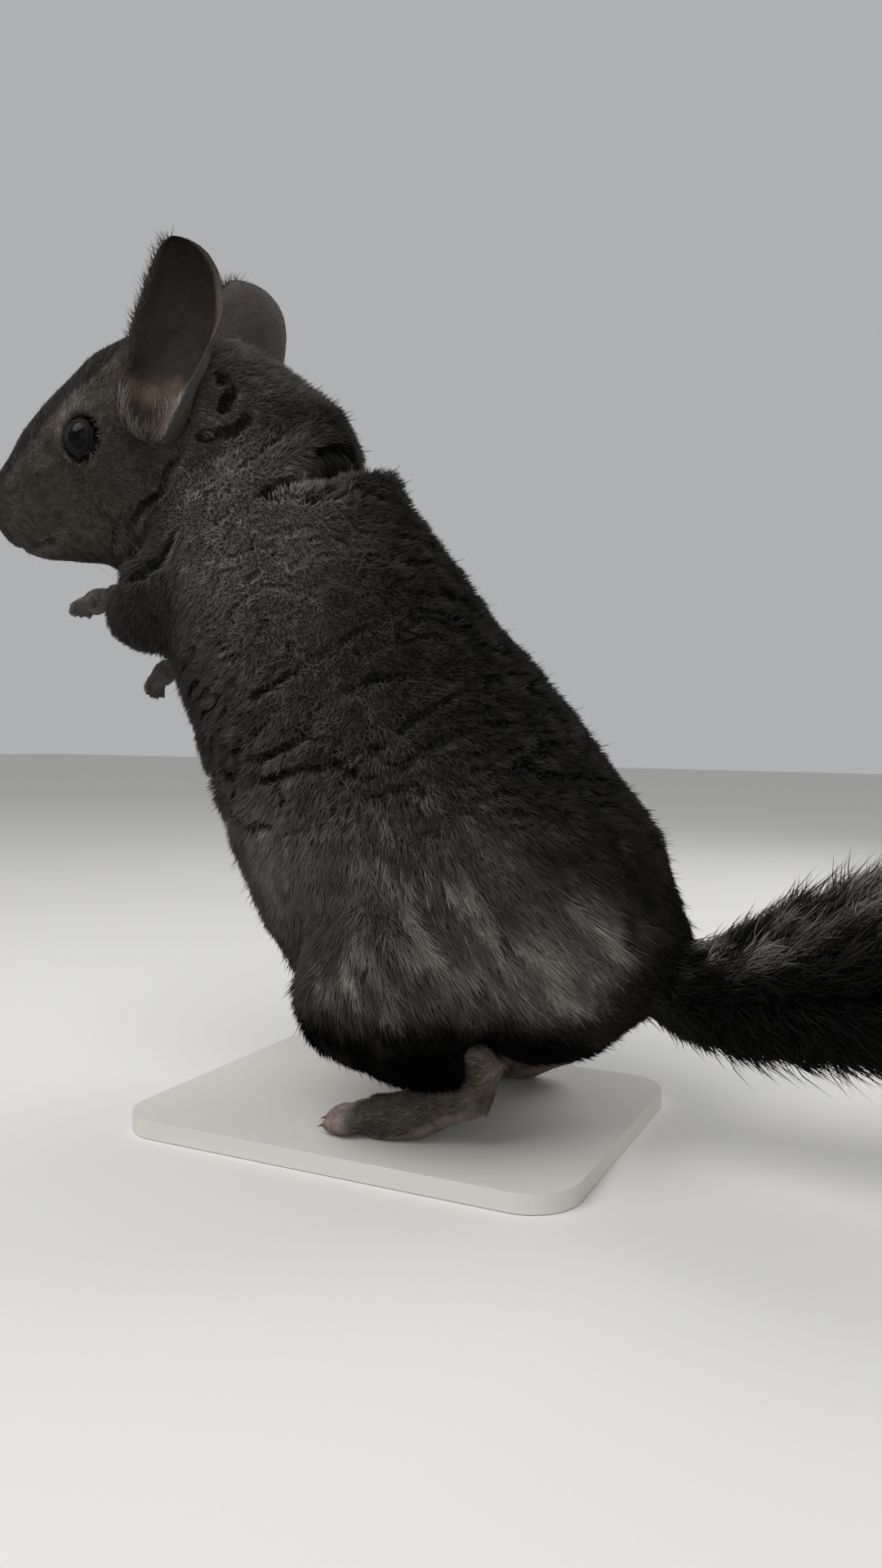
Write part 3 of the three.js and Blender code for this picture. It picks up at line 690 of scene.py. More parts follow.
def ear_skin(mirror):
    """An ear: rows rise from foot to tip, columns bend round the hollow, and a back layer follows the front.

    Each point is foot + rise t long + across reach sin(angle) + opening (shift + 0.6 radius -
    reach cos(angle)), where reach is the radius less or plus half the thickness, with ridges and veins
    added on the inside.
    """
    foot, long, rise, across, opening = ear_axes(mirror)
    t = (EAR_LOW + (1 - EAR_LOW) * np.sin(math.pi / 2 * np.linspace(0, 1, EAR_ROWS)) ** 1.1)[:, None]
    v = np.linspace(-1, 1, EAR_COLUMNS)[None, :]
    half, roll, radius, shift = ear_curve(t)
    angle = roll * v
    spots = np.stack(np.broadcast_arrays(t * 50, v * 16, 0 * v * t), -1).reshape(-1, 3)
    grain = (noise(spots, 6, 41) + 0.4 * noise(spots, 2, 42)).reshape(EAR_ROWS, -1)
    rim = ease(np.abs(v), 0.8, 1.0)
    layers = []
    for layer in (-1, 1):
        thick = (0.75 - 0.35 * np.minimum(np.abs(t) * 1.5, 1)) * (1 - 0.75 * rim)
        thick = thick * np.sqrt(1.02 - np.abs(t) ** 8)
        inside = layer < 0
        low = ease(-t, -0.4, -0.05)
        rear = 2.2 * np.exp(-(((v * mirror + 0.35) / 0.16) ** 2))
        ridge = low * (rear + 1.5 * np.exp(-(((v * mirror - 0.3) / 0.12) ** 2)))
        veins = 0.12 * np.sin(9 * v * (1 + 0.3 * t) + 2 * grain) * ease(t, 0.3, 0.6)
        curl = 1.4 * ease(v * mirror, 0.72, 1.0) * ease(t, 0.15, 0.4) * (1 - t)
        reach = radius + layer * thick - inside * (ridge * radius / 12 + veins) + 0.3 * grain - curl
        reach = np.maximum(reach, 0.05)
        layers.append(
            foot
            + rise * (t * long)[..., None]
            + across * (reach * np.sin(angle))[..., None]
            + opening * (shift + radius * 0.6 - reach * np.cos(angle))[..., None]
        )
    front, back = (layer.reshape(-1, 3) for layer in layers)
    places = np.vstack([front, back])
    f = grid_faces(EAR_ROWS, EAR_COLUMNS)
    n, r, c = EAR_ROWS * EAR_COLUMNS, EAR_ROWS, EAR_COLUMNS
    right_edge, top_edge = np.arange(1, r) * c + c - 1, (r - 1) * c + np.arange(c - 2, -1, -1)
    edge = np.concatenate([np.arange(c), right_edge, top_edge, np.arange(r - 2, -1, -1) * c])
    band = np.stack([edge[:-1], edge[1:], edge[1:] + n, edge[:-1] + n], 1)
    faces = np.vstack([f, f[:, ::-1] + n, band[:, ::-1]])
    t, v = (np.broadcast_to(a, (EAR_ROWS, EAR_COLUMNS)).ravel() for a in (t, v))
    inner = np.repeat([1.0, 0.0], n)
    return places, faces, np.tile(t, 2), np.tile(v, 2), inner


def in_ear(places, mirror):
    """How far places stand in front of the ear's hollow, in mm, and 1 where they lie between its edges."""
    foot, long, rise, across, opening = ear_axes(mirror)
    gap = places - foot
    t = gap @ rise / long
    half, _, radius, shift = ear_curve(t)
    a = gap @ across
    wall = shift + radius * 0.6 - np.sqrt(np.maximum(radius**2 - a**2, 0))
    between = ease(-np.abs(a) / np.maximum(half, 1), -0.98, -0.86) * ease(t, EAR_LOW + 0.01, 0.06) * (t < 0.8)
    ahead = gap @ opening
    return ahead - wall, between * (np.abs(ahead) < 22)


def ear_colour(places, t, v, inner, mirror):
    """Dark brown inside, tan and pink at the foot, painted shade at the ear's opening, a paler rim at the
    rear edge and a grey-brown back.
    """
    deep = np.array([0.0105, 0.0072, 0.0050])
    tan = np.array([0.105, 0.068, 0.046])
    pink = np.array([0.235, 0.175, 0.155])
    rim = np.array([0.070, 0.058, 0.050])
    back = np.array([0.060, 0.051, 0.046])
    patch = noise(places, 3, 51) + 0.5 * noise(places, 1.2, 52)
    inside = np.tile(deep, (len(places), 1)) * (1 + 0.3 * patch[:, None])
    inside = mix(inside, tan, ease(-t - 0.04 * patch, -0.32, -0.2) * 0.8)
    side = v * mirror
    inside = mix(inside, pink, ease(-t, -0.24, -0.1) * ease(side, -0.3, 0.2) * 0.9)
    # Painted shade: a dark spot low in the hollow, where the ear opens.
    hole_shade = np.exp(-(((t - 0.09) / 0.07) ** 2) - ((side + 0.45) / 0.28) ** 2)
    inside = mix(inside, deep * 0.6, hole_shade * 0.9)
    inside = mix(inside, rim, ease(side, 0.62, 0.8))
    inside = mix(inside, rim * 0.7, ease(-side, 0.82, 0.98))
    outside = back[None] * (1 + 0.15 * patch[:, None])
    return mix(outside, inside, inner)


# Coat of many small tufts: the triangles in one piece, and half the size of a tuft's patch in OFBake
MOST_TRIANGLES = 198000
PATCH_RADIUS = 0.0015


def spread(places, quads, stored, density):
    """Roots spread over a quad mesh, as many per square mm as asked, with the stored values at each."""
    a, b, c, d = (places[quads[:, k]] for k in range(4))
    area = 0.5 * np.linalg.norm(np.cross(c - a, d - b), axis=1)
    want = area * density[quads].mean(1)
    total = int(want.sum())
    ends = np.cumsum(want)
    face = np.searchsorted(ends, (np.arange(total) + RNG.random(total)) / total * ends[-1])
    face = np.minimum(face, len(quads) - 1)
    u, v = RNG.random((2, total, 1))
    q = quads[face]
    blend = [(1 - u) * (1 - v), u * (1 - v), u * v, (1 - u) * v]
    return (sum(w * values[q[:, k]] for k, w in enumerate(blend)) for values in (places, stored))


def bake_place(root):
    """Where a root lies on the unwrapped skin: angle and share along the spine, with the tail beside it."""
    _, angle, share = around(root, SPINE, BACK)
    _, tail_angle, tail_along = around(root, TAIL, np.tile([0, 0.2, 1.0], (len(TAIL), 1)))
    body = np.stack([0.02 + 0.58 * (angle / (2 * math.pi) + 0.5), 0.02 + 0.96 * share], 1)
    tail = np.stack([0.64 + 0.34 * (tail_angle / (2 * math.pi) + 0.5), 0.04 + 0.4 * tail_along], 1)
    return np.where((root[:, 1] > 58)[:, None], tail, body)


def tufts(name, root, normal, lie, reach, rise, width, colour, tip_colour, pull, slot, bent=False):
    """Tufts, each a thin three-sided spike; bent adds a ring of corners half way.

    Its centre line goes along the lie by reach times t and off the skin by rise times (1.6 t - 0.6 t
    squared), and leans by pull times t to the power 1.5.
    """
    flat = unit(lie - normal * (lie * normal).sum(1, keepdims=True))
    side = np.cross(normal, flat)
    pull = pull - normal * (pull * normal).sum(1, keepdims=True)
    sway = RNG.normal(0, 0.12, len(root)) * reach

    def centre(t):
        along = flat * (reach * t)[:, None] + side * (sway * t * t)[:, None]
        return root + along + normal * (rise * (1.6 * t - 0.6 * t * t))[:, None] + pull * t**1.5

    tip = centre(1.0)
    axis = unit(tip - root)
    side = unit(np.cross(axis, normal))
    out = np.cross(side, axis)
    rows = ((0.0, 0.85), (0.5, 1.0)) if bent else ((0.0, 1.0),)
    rings = []
    for t, wide in rows:
        middle = centre(t) - (normal * 0.2 if t == 0 else 0)
        for a in (90, 210, 330):
            way = side * math.cos(math.radians(a)) + out * math.sin(math.radians(a))
            rings.append(middle + way * (0.5 * wide * width)[:, None])
    places = np.stack([*rings, tip], 1)
    last = 3 * len(rows)
    one = [[last - 3 + (k + 1) % 3, last - 3 + k, last] for k in range(3)]
    for k in range(3 if bent else 0):
        j = (k + 1) % 3
        one += [[j, k, 3 + j], [3 + j, k, 3 + k]]
    count, sides = last + 1, len(one)
    faces = (np.arange(len(root))[:, None, None] * count + np.array(one)[None]).reshape(-1, 3)
    # Painted shade deep in the coat: the root corners take 0.35 of the colour and the middle ring of bent
    # tufts 0.85, while the tip takes tip_colour.
    root_shade = np.repeat([0.35, 0.85] if bent else [0.35], 3)
    shade = np.concatenate([colour[:, None, :] * root_shade[None, :, None], tip_colour[:, None, :]], 1)
    turns = np.radians(np.tile([90, 210, 330], len(rows)))
    wide = np.repeat([PATCH_RADIUS, 0.0008][: len(rows)], 3)
    patch = np.vstack([np.column_stack([np.cos(turns), np.sin(turns)]) * wide[:, None], [0, 0]])
    uv = (bake_place(root)[:, None, :] + patch[None]).reshape(-1, 2)
    most = MOST_TRIANGLES // sides
    for k, i in enumerate(range(0, len(root), most)):
        n = min(most, len(root) - i)
        obj = piece(f"{name}_{k + 1}", places[i : i + n].reshape(-1, 3), faces[: n * sides], 3)
        paint(obj, "coat", shade[i : i + n].reshape(-1, 3))
        layer = obj.data.uv_layers.new(name="OFBake")
        corners = faces[: n * sides].ravel()
        layer.data.foreach_set("uv", uv[i * count : (i + n) * count][corners].astype(np.float32).ravel())
        obj.data.materials.append(COAT)
        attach(obj, "root")


# Materials
def grain_group():
    """Shader group that breaks a colour up with fine noise and gives the same noise as a height."""
    group = bpy.data.node_groups.new("fine_grain", "ShaderNodeTree")
    face = group.interface
    face.new_socket("Colour", in_out="INPUT", socket_type="NodeSocketColor")
    face.new_socket("Scale", in_out="INPUT", socket_type="NodeSocketFloat")
    face.new_socket("Amount", in_out="INPUT", socket_type="NodeSocketFloat")
    face.new_socket("Colour", in_out="OUTPUT", socket_type="NodeSocketColor")
    face.new_socket("Height", in_out="OUTPUT", socket_type="NodeSocketFloat")
    nodes, links = group.nodes, group.links
    start, end = nodes.new("NodeGroupInput"), nodes.new("NodeGroupOutput")
    where = nodes.new("ShaderNodeTexCoord")
    grain = nodes.new("ShaderNodeTexNoise")
    grain.inputs["Detail"].default_value = 4
    spreadout = nodes.new("ShaderNodeMath")
    spreadout.operation = "MULTIPLY_ADD"
    spreadout.inputs[2].default_value = 1
    centred = nodes.new("ShaderNodeMath")
    centred.operation = "SUBTRACT"
    centred.inputs[1].default_value = 0.5
    tint = nodes.new("ShaderNodeVectorMath")
    tint.operation = "SCALE"
    links.new(where.outputs["Object"], grain.inputs["Vector"])
    links.new(start.outputs["Scale"], grain.inputs["Scale"])
    links.new(grain.outputs["Fac"], centred.inputs[0])
    links.new(centred.outputs[0], spreadout.inputs[0])
    links.new(start.outputs["Amount"], spreadout.inputs[1])
    links.new(start.outputs["Colour"], tint.inputs[0])
    links.new(spreadout.outputs[0], tint.inputs["Scale"])
    links.new(tint.outputs[0], end.inputs["Colour"])
    links.new(grain.outputs["Fac"], end.inputs["Height"])
    return group


GRAIN = grain_group()


def material(name, colour=None, attribute=None, scale=900, amount=0.4, bump=0.0, **sockets):
    """A Principled material: the grain group breaks up its own or stored colour and raises any bumps."""
    mat = bpy.data.materials.new(name)
    mat.use_nodes = True
    nodes, links = mat.node_tree.nodes, mat.node_tree.links
    shader = nodes["Principled BSDF"]
    for key, value in sockets.items():
        shader.inputs[key.replace("_", " ")].default_value = value
    grain = nodes.new("ShaderNodeGroup")
    grain.node_tree = GRAIN
    grain.inputs["Scale"].default_value = scale
    grain.inputs["Amount"].default_value = amount
    if attribute:
        stored = nodes.new("ShaderNodeAttribute")
        stored.attribute_name = attribute
        links.new(stored.outputs["Color"], grain.inputs["Colour"])
    else:
        grain.inputs["Colour"].default_value = (*colour, 1)
    links.new(grain.outputs["Colour"], shader.inputs["Base Color"])
    if bump:
        raised = nodes.new("ShaderNodeBump")
        raised.inputs["Distance"].default_value = bump * MM
        links.new(grain.outputs["Height"], raised.inputs["Height"])
        links.new(raised.outputs["Normal"], shader.inputs["Normal"])
    return mat


COAT = material("coat", attribute="coat", scale=700, amount=0.4, Roughness=0.75, Specular_IOR_Level=0.03)
SKIN = material(
    "skin", attribute="coat", scale=1500, amount=0.7, bump=0.25, Roughness=0.65, Specular_IOR_Level=0.15
)
EYE = material(
    "eye", colour=(0.002, 0.0018, 0.002), amount=0.1, Roughness=0.06, IOR=1.2, Specular_IOR_Level=0.4
)
NOSE = material("nose", colour=(0.020, 0.015, 0.014), scale=2200, amount=0.5, bump=0.2, Roughness=0.42)
CLAW = material("claw", colour=(0.10, 0.085, 0.072), amount=0.3, Roughness=0.35)
WHISKER = material("whisker", colour=(0.03, 0.028, 0.026), amount=0.2, Roughness=0.4)
BOARD = material("board", colour=(0.62, 0.60, 0.56), scale=60, amount=0.06, Roughness=0.6)
FLOOR = material("floor", colour=(0.72, 0.71, 0.69), amount=0.02, Roughness=0.8)

skin_places, skin_quads, skin_normals = body_skin()
paw_places, paw_quads, paw_normals = paw_skin()
ear_parts = {m: ear_skin(m) for m in (1, -1)}

# One skin from body, paws and ears
all_places = [skin_places, paw_places]
all_quads = [skin_quads, paw_quads + len(skin_places)]
skin_marks = markings(skin_places)
skin_fold, skin_away, _ = fold_at(skin_places, skin_normals)
# Painted shade: the skin takes 0.45 of the coat's colour as shade under the coat, and darker still in the
# folds.
shaded_skin_colour = skin_marks * (0.45 * np.exp(-skin_fold))[:, None]


def paw_colour(places, normals):
    """Grey-brown paws: feet with a paler inner side and heel, pinkish toes and painted shade in the creases
    between them.
    """
    behind, across, foot = foot_place(places)
    arm = ease(arm_place(places)[0], -4, 5) * (1 - foot)
    inner = ease(-normals[:, 0] * np.sign(places[:, 0]), 0.0, 0.7)
    colour = np.tile([0.075, 0.066, 0.058], (len(places), 1))
    colour = mix(colour, np.array([0.110, 0.098, 0.080]), foot)
    colour = mix(colour, np.array([0.230, 0.185, 0.140]), foot * (0.25 * ease(behind, 24, 31) + 0.75 * inner))
    colour = mix(colour, np.array([0.240, 0.180, 0.162]), foot * ease(-behind, -3, 1.5) * 0.9)
    colour = mix(colour, np.array([0.135, 0.098, 0.088]), foot * ease(-normals[:, 2], 0.2, 0.6) * 0.8)
    # Painted shade: darker along the creases between the toes.
    colour *= (1 - 0.75 * foot * np.exp(-(((across - 2.9) / 0.6) ** 2)) * ease(-behind, -5, 1))[:, None]
    colour = mix(colour, CHARCOAL * 0.6, arm)
    return colour * (1 + 0.3 * noise(places, (4, 1.5, 4), 61) + 0.2 * noise(places, 1.2, 62))[:, None]


all_colours = [shaded_skin_colour, paw_colour(paw_places, paw_normals)]
for m, (p, q, t, v, inner) in ear_parts.items():
    all_quads.append(q + sum(map(len, all_places)))
    all_places.append(p)
    all_colours.append(ear_colour(p, t, v, inner, m))
skin = piece("skin", np.vstack(all_places), np.vstack(all_quads))
paint(skin, "coat", np.vstack(all_colours))
skin.data.materials.append(SKIN)
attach(skin, "root")
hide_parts(*BODY_NODES, *PAW_NODES, "ear_left", "ear_right")

# Trunk, head and tail coat
skin_way, skin_length, skin_rise = lie_at(skin_places)
skin_head = to_head(skin_places)
skin_tail = tail_share(skin_places)
on_face = ease(skin_head[:, 0], -20, 20) * ease(skin_places[:, 2], 150, 165)
density = TRUNK_TUFTS + FACE_TUFTS * on_face + SNOUT_TUFTS * ease(skin_head[:, 0], 30, 50) * on_face
density = np.where(skin_tail > 0.5, TAIL_TUFTS, density)
for m in (1, -1):
    gap = np.linalg.norm(skin_head - np.array([EYE_PLACE[0], m * EYE_PLACE[1], EYE_PLACE[2]]), axis=1)
    density *= ease(gap, 6.2, 6.7)
    ahead, between = in_ear(skin_places, m)
    density *= 1 - (between > 0.3) * (ahead > -2.5)
nose_tip = skin_head[np.argmin(np.linalg.norm(skin_head - [76, 0, -2.5], axis=1))]
density *= ease(np.linalg.norm((skin_head - nose_tip) * [0.6, 1, 1.1], axis=1), 2.2, 2.9)
fold_gap = np.linalg.norm(skin_away, axis=1)
stored = np.column_stack([skin_normals, skin_way, skin_length, skin_rise, skin_marks, skin_tail, fold_gap])
root, data = spread(skin_places, skin_quads, stored, density)
normal, way = unit(data[:, :3]), unit(data[:, 3:6])
length, rise, colour, on_tail, near_fold = data[:, 6], data[:, 7], data[:, 8:11], data[:, 11], data[:, 12]
tail = on_tail > 0.5
head_root = to_head(root)
for m in (1, -1):
    off = root - in_head(EYE_PLACE[0], m * EYE_PLACE[1], EYE_PLACE[2])
    near = ease(-np.linalg.norm(off, axis=1), -12, -8.5)[:, None]
    way = unit(way * (1 - 0.6 * near) + unit(off) * 0.6 * near)

# Folds and cracks: hair that points into one stops short of its edge, and hair in it is short and painted
# dark as shade
width = np.zeros(len(root))
away = np.full((len(root), 3), 9.0)
close = near_fold < 9
_, away[close], width[close] = fold_at(root[close], normal[close])
furry = ease(rise, 1.6, 2.6) * (1 - on_tail)
wrinkled = furry * ease(-np.abs(root[:, 2] - 132), -64, -40)
crack_gap, crack_away = cracks(root)
ragged = 0.35 * noise(root, 1.3, 91) + 0.3 * noise(root, 3, 92)
half = np.where(width > 3, 3.6, 0.8 * np.minimum(width, 1.5))
gap = np.maximum(np.linalg.norm(away, axis=1) - half * (1 + ragged), 0)
crack_gap = np.maximum(crack_gap - 0.34 + 0.25 * ragged, 0) + 3 * (1 - wrinkled)
fold_first = gap < crack_gap
gap = np.minimum(gap, crack_gap)
away = np.where(fold_first[:, None], unit(away), crack_away)
facing = (away * way).sum(1)
part = np.exp(-((gap / 0.42) ** 2))
length = length * RNG.uniform(0.75, 1.2, len(root))
relief = 1 + furry * (0.3 * noise(root, 2.8, 77) + 0.2 * noise(root, 7, 78))
rise = np.minimum(rise * relief * RNG.uniform(0.8, 1.12, len(root)), 0.9 * length) * (1 - 0.65 * part)
reach = np.sqrt(np.maximum(length**2 - rise**2, 0.04)) * (1 - 0.35 * furry * ease(root[:, 2], 70, 100))
room = np.maximum(gap + RNG.uniform(-0.2, 0.7, len(root)), 0.2)
reach = np.where((facing < 0) & (gap < 5), np.minimum(reach, room), reach) * (1 - 0.7 * part)
lean = away * (0.5 * np.exp(-((gap / 1.0) ** 2)) * (1 - part))[:, None]
stray = (RNG.random(len(root)) < 0.03) * RNG.uniform(0.2, 0.8, len(root)) * (gap > 2)
# The tail's hair sprays up and back on top, and down and back below
spray = np.sign(normal[:, 2:]) * np.array([[0, 0, 0.3]]) * on_tail[:, None]
way = unit(way + spray + RNG.normal(0, 0.16, (len(root), 3)))
rise = np.maximum(rise * (1 + stray + 0.3 * on_tail * RNG.normal(0, 1, len(root))), 0.15)
clump, margin, own = cells(root, CLUMP_SIZE, 3)
pull = clump * (0.35 * np.clip(length / 5, 0.2, 1.2) * ease(gap, 0, 1.5))[:, None] + lean
width = np.clip(0.07 * length + 0.16, 0.24, 0.62) * RNG.uniform(0.75, 1.25, len(root)) * (1 - 0.5 * on_tail)

# Tone by tuft and clump, painted shade at clump edges and in partings, painted light just below partings, and
# frost: pale streaks on the haunches and pale tips on the tail's top
PALE_SPOTS = (
    (2.2, (38, 42, 52), 13), (1.1, (48, 18, 60), 13), (0.8, (58, -4, 47), 10), (0.6, (52, 4, 78), 12),
)
# Random tone by tuft and clump, and painted shade darkening the edges between clumps.
shade = RNG.uniform(0.8, 1.2, len(root)) * (0.82 + 0.36 * own) * (0.72 + 0.28 * ease(margin, 0.0, 0.25))
# Painted shade: tufts in a parting are darkened to 0.08 of their tone; the noise after it is random tone.
shade *= (1 - 0.92 * part) * (1 + furry * (0.28 * noise(root, 4.5, 75) + 0.3 * noise(root, 2.0, 79)))
face = 1 - ease(rise, 1.6, 2.6)
grainy = 0.3 * noise(root, 1.4, 86) + 0.25 * noise(root, 3.5, 87) + RNG.normal(0, 0.2, len(root))
shade *= np.maximum(1 + face * (1 - on_tail) * grainy, 0.3)
# Painted light: tufts just past a parting, on the side their hair points away to, are up to 1.45 times
# lighter, as lit lips below the cracks.
shade *= 1 + 0.45 * (facing > 0) * np.exp(-(((gap - 1.2) / 0.9) ** 2))
both = np.column_stack([np.abs(root[:, 0]), root[:, 1:]])
q = np.column_stack([root[:, 0], root @ [0, 0.87, 0.5], root @ [0, -0.5, 0.87]])
streak = noise(q, (2.6, 2.2, 9), 71) + 0.6 * noise(q, (1.3, 1.1, 6), 72) + 0.5 * noise(q, 9, 76)
streak = ease(streak, 0.1, 0.6)
pale = sum(strength * blob(both, middle, radius) for strength, middle, radius in PALE_SPOTS)
frosting = np.clip(streak * 1.4 + 0.06, 0, 1) * np.clip(1.3 * pale, 0, 1)
frosting += 0.6 * blob(both, (38, 40, 52), 11)
frosting += 0.7 * on_tail * ease(normal[:, 2], 0.1, 0.7) * ease(noise(root, 5, 73), -0.4, 0.4)
frosting += 0.05 * ease(noise(root, 4, 74), 0.2, 0.7) * furry
frosting = np.clip(frosting, 0, 1)
colour = colour * shade[:, None]
# The tips are painted 1.15 times lighter than the colour, the lit end of the painted shading along each tuft,
# then mixed with frost.
tip_colour = mix(colour * 1.15, FROST * shade[:, None], frosting * RNG.uniform(0.6, 1, len(root)))
colour = mix(colour, FROST * shade[:, None], frosting * 0.7)
groups = np.where(tail, 2, ((head_root[:, 0] > -25) & (root[:, 2] > 150)).astype(int))
COATS = (("coat_trunk", "coat_side"), ("coat_head", "coat_side"), ("coat_tail", "coat_tail"))
for number, (name, slot) in enumerate(COATS):
    pick = groups == number
    own_values = (a[pick] for a in (root, normal, way, reach, rise, width, colour, tip_colour, pull))
    tufts(name, *own_values, slot, bent=number == 2)

# Short hair on the paws and feet, pointing to the toes, and none on the soles
paw_density = np.where(paw_normals[:, 2] > -0.35, PAW_TUFTS, 0.0) * 1
root, normal = spread(paw_places, paw_quads, paw_normals, paw_density)
toes = np.tile([0.0, -1.0, -0.35], (len(root), 1)) + RNG.normal(0, 0.22, (len(root), 3))
behind, _, foot = foot_place(root)
sleeve = (1 - foot) * ease(arm_place(root)[0], -6, 4)
size = RNG.uniform(0.7, 1.3, len(root)) * (1.1 + foot * (1.5 * ease(behind, -1, 5) - 0.45) + 1.9 * sleeve)
shade = RNG.uniform(0.6, 1.4, len(root)) * (1 + 0.35 * noise(root, 2.5, 63))
hair = paw_colour(root, unit(normal)) * shade[:, None]
lift = size * (0.16 + 0.16 * foot * RNG.random(len(root)))
still = np.zeros_like(root)
thick = 0.1 + size * 0.08
tufts("coat_paws", root, unit(normal), toes, size, lift, thick, hair, hair * 1.5, still, "foot_skin")

# Fine down on the ears: short on the back, long pale hairs at the foot and the front edge
for m, (p, q, t, v, inner) in ear_parts.items():
    low, front = ease(-t, -0.32, -0.1), ease(-v * m, 0.8, 0.97)
    down = np.where(inner > 0.5, 0.3 + 3.5 * low * ease(v * m, -0.4, 0.1) + 2.0 * front, 5.0)
    stored = np.column_stack([normals_of(p, q), t, v, inner])
    root, data = spread(p, q, stored, down * (1))
    normal, tt, vv, ii = unit(data[:, :3]), data[:, 3], data[:, 4], data[:, 5]
    low, front = ease(-tt, -0.32, -0.1), ease(-vv * m, 0.8, 0.97)
    size = RNG.uniform(0.7, 1.3, len(root)) * (1.0 + ii * 3.0 * low + 2.4 * front)
    hair = ear_colour(root, tt, vv, ii, m) * RNG.uniform(0.8, 1.4, len(root))[:, None]
    hair = mix(hair, FROST * 0.8, ii * low * 0.5 * RNG.random(len(root)))
    lean = ear_axes(m)[2] + RNG.normal(0, 0.25, (len(root), 3))
    flat, lift = size * (1 - 0.2 * front), size * (0.18 + 0.6 * front)
    thick, still = 0.12 + size * 0.03, np.zeros_like(root)
    name = "down_" + ("left" if m > 0 else "right")
    tufts(name, root, normal, lean, flat, lift, thick, hair, hair * 1.2, still, "ear_skin")


# Eyes and lids
def eye_socket(mirror):
    """Middle of the eyeball, just outside that of its CAD ball, and its ways out, up and aside."""
    out = unit(head_way(0.25, mirror, 0.12))
    up = unit(head_way(0, 0, 1) - out * (out @ head_way(0, 0, 1)))
    centre = in_head(EYE_PLACE[0], mirror * EYE_PLACE[1], EYE_PLACE[2]) + out * 0.8
    return centre, out, up, np.cross(out, up)


def round_points(centre, out, up, side, r, a, b):
    """Points at radius r, at angle a off the outward way and turned by b round it."""
    turned = up * (r * np.sin(a) * np.cos(b))[..., None] + side * (r * np.sin(a) * np.sin(b))[..., None]
    return (centre + out * (r * np.cos(a) + 0 * b)[..., None] + turned).reshape(-1, 3)


def eye_ball(mirror):
    """A ball with the cornea's slight bulge: radius times (1 + 0.035 times a bell round the outward way)."""
    rows, columns = 40, 60
    a = np.linspace(0, math.pi, rows)[:, None]
    b = np.linspace(0, 2 * math.pi, columns, endpoint=False)[None, :]
    r = BALL_RADIUS * (1 + 0.035 * np.exp(-((a / 0.5) ** 2)))
    places = round_points(*eye_socket(mirror), r, a, b)
    name = "eye_" + ("left" if mirror > 0 else "right") + "_ball"
    return piece(name, places, grid_faces(rows, columns, True)[:, ::-1])


def eye_lid(mirror):
    """A soft rim round the eye, with short hair on its outer half.

    It is a band of rings on the ball, from 37 to 75 degrees off the outward way, that swells near its inner
    edge and sinks at both edges.
    """
    centre, out, up, side = eye_socket(mirror)
    s = np.linspace(0, 1, 14)[:, None]
    b = np.linspace(0, 2 * math.pi, 72, endpoint=False)[None, :]
    a = np.radians(37 + 3 * np.cos(2 * b) + 38 * s)
    r = BALL_RADIUS - 0.12 + 0.45 * np.sin(math.pi * s**0.4) ** 0.8 - 0.3 * s + 0.05 * np.sin(9 * b + 4 * s)
    places = round_points(centre, out, up, side, r, a, b)
    faces = grid_faces(14, 72, True)[:, ::-1]
    share = np.repeat(s[:, 0], 72)
    lid = piece("lid_" + ("left" if mirror > 0 else "right"), places, faces)
    margin = np.tile([0.004, 0.0035, 0.0035], (len(places), 1))
    paint(lid, "coat", mix(margin, BROWN_GREY * 0.16, ease(share, 0.3, 0.6)))
    stored = np.column_stack([normals_of(places, faces), share])
    root, data = spread(places, faces, stored, 18.0 * ease(share, 0.4, 0.55))
    off = root - centre
    way = unit(off - out * (off @ out)[:, None]) * 0.7 + head_way(-0.6, 0, 0.1)
    outer = ease(data[:, 3], 0.4, 0.9)
    size = RNG.uniform(1.0, 1.9, len(root)) * (0.3 + 0.7 * outer)
    hair = BROWN_GREY * (RNG.uniform(0.3, 0.9, len(root)) * (0.4 + 0.8 * outer))[:, None]
    lift, thick, still = size * 0.3, 0.12 + size * 0.07, np.zeros_like(root)
    name = lid.name + "_down"
    tufts(name, root, unit(data[:, :3]), way, size, lift, thick, hair, hair * 1.2, still, "coat_side")
    return lid


for m, side in ((1, "left"), (-1, "right")):
    ball, lid = eye_ball(m), eye_lid(m)
    ball.data.materials.append(EYE)
    lid.data.materials.append(SKIN)
    for obj in (ball, lid):
        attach(obj, "root")
    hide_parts("eye_" + side)


def nose_pad():
    """The nose: a flattened ball, narrower below, with two slanting nostrils and a groove between them."""
    rows, columns = 60, 90
    a = np.linspace(0, math.pi, rows)[:, None]
    b = np.linspace(0, 2 * math.pi, columns, endpoint=False)[None, :]
    forward = np.cos(a) + 0 * b
    left = np.sin(a) * np.sin(b)
    up = np.sin(a) * np.cos(b)
    dent = np.zeros_like(forward)
    for m in (1, -1):
        slant = up + 0.12 - 0.75 * (m * left - 0.5)
        dent += 0.42 * np.exp(-(((m * left - 0.52) / 0.24) ** 2) - (slant / 0.13) ** 2)
    dent += 0.16 * np.exp(-((left / 0.07) ** 2)) * ease(-up, -0.3, 0.2)
    r = 1 - dent * (forward > 0)
    wide = 2.9 * (1 + 0.28 * up)
    local = np.stack([2.3 * forward * r - 0.9, wide * left * (1 - 0.3 * dent), 2.5 * up], -1).reshape(-1, 3)
    local = local + nose_tip
    places = HEAD_PIVOT + np.stack([local[:, 1], -local[:, 0], local[:, 2]], 1) @ HEAD_AXES.T
    return piece("nose_pad", places, grid_faces(rows, columns, True))


nose = nose_pad()
nose.data.materials.append(NOSE)
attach(nose, "root")
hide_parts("nose")


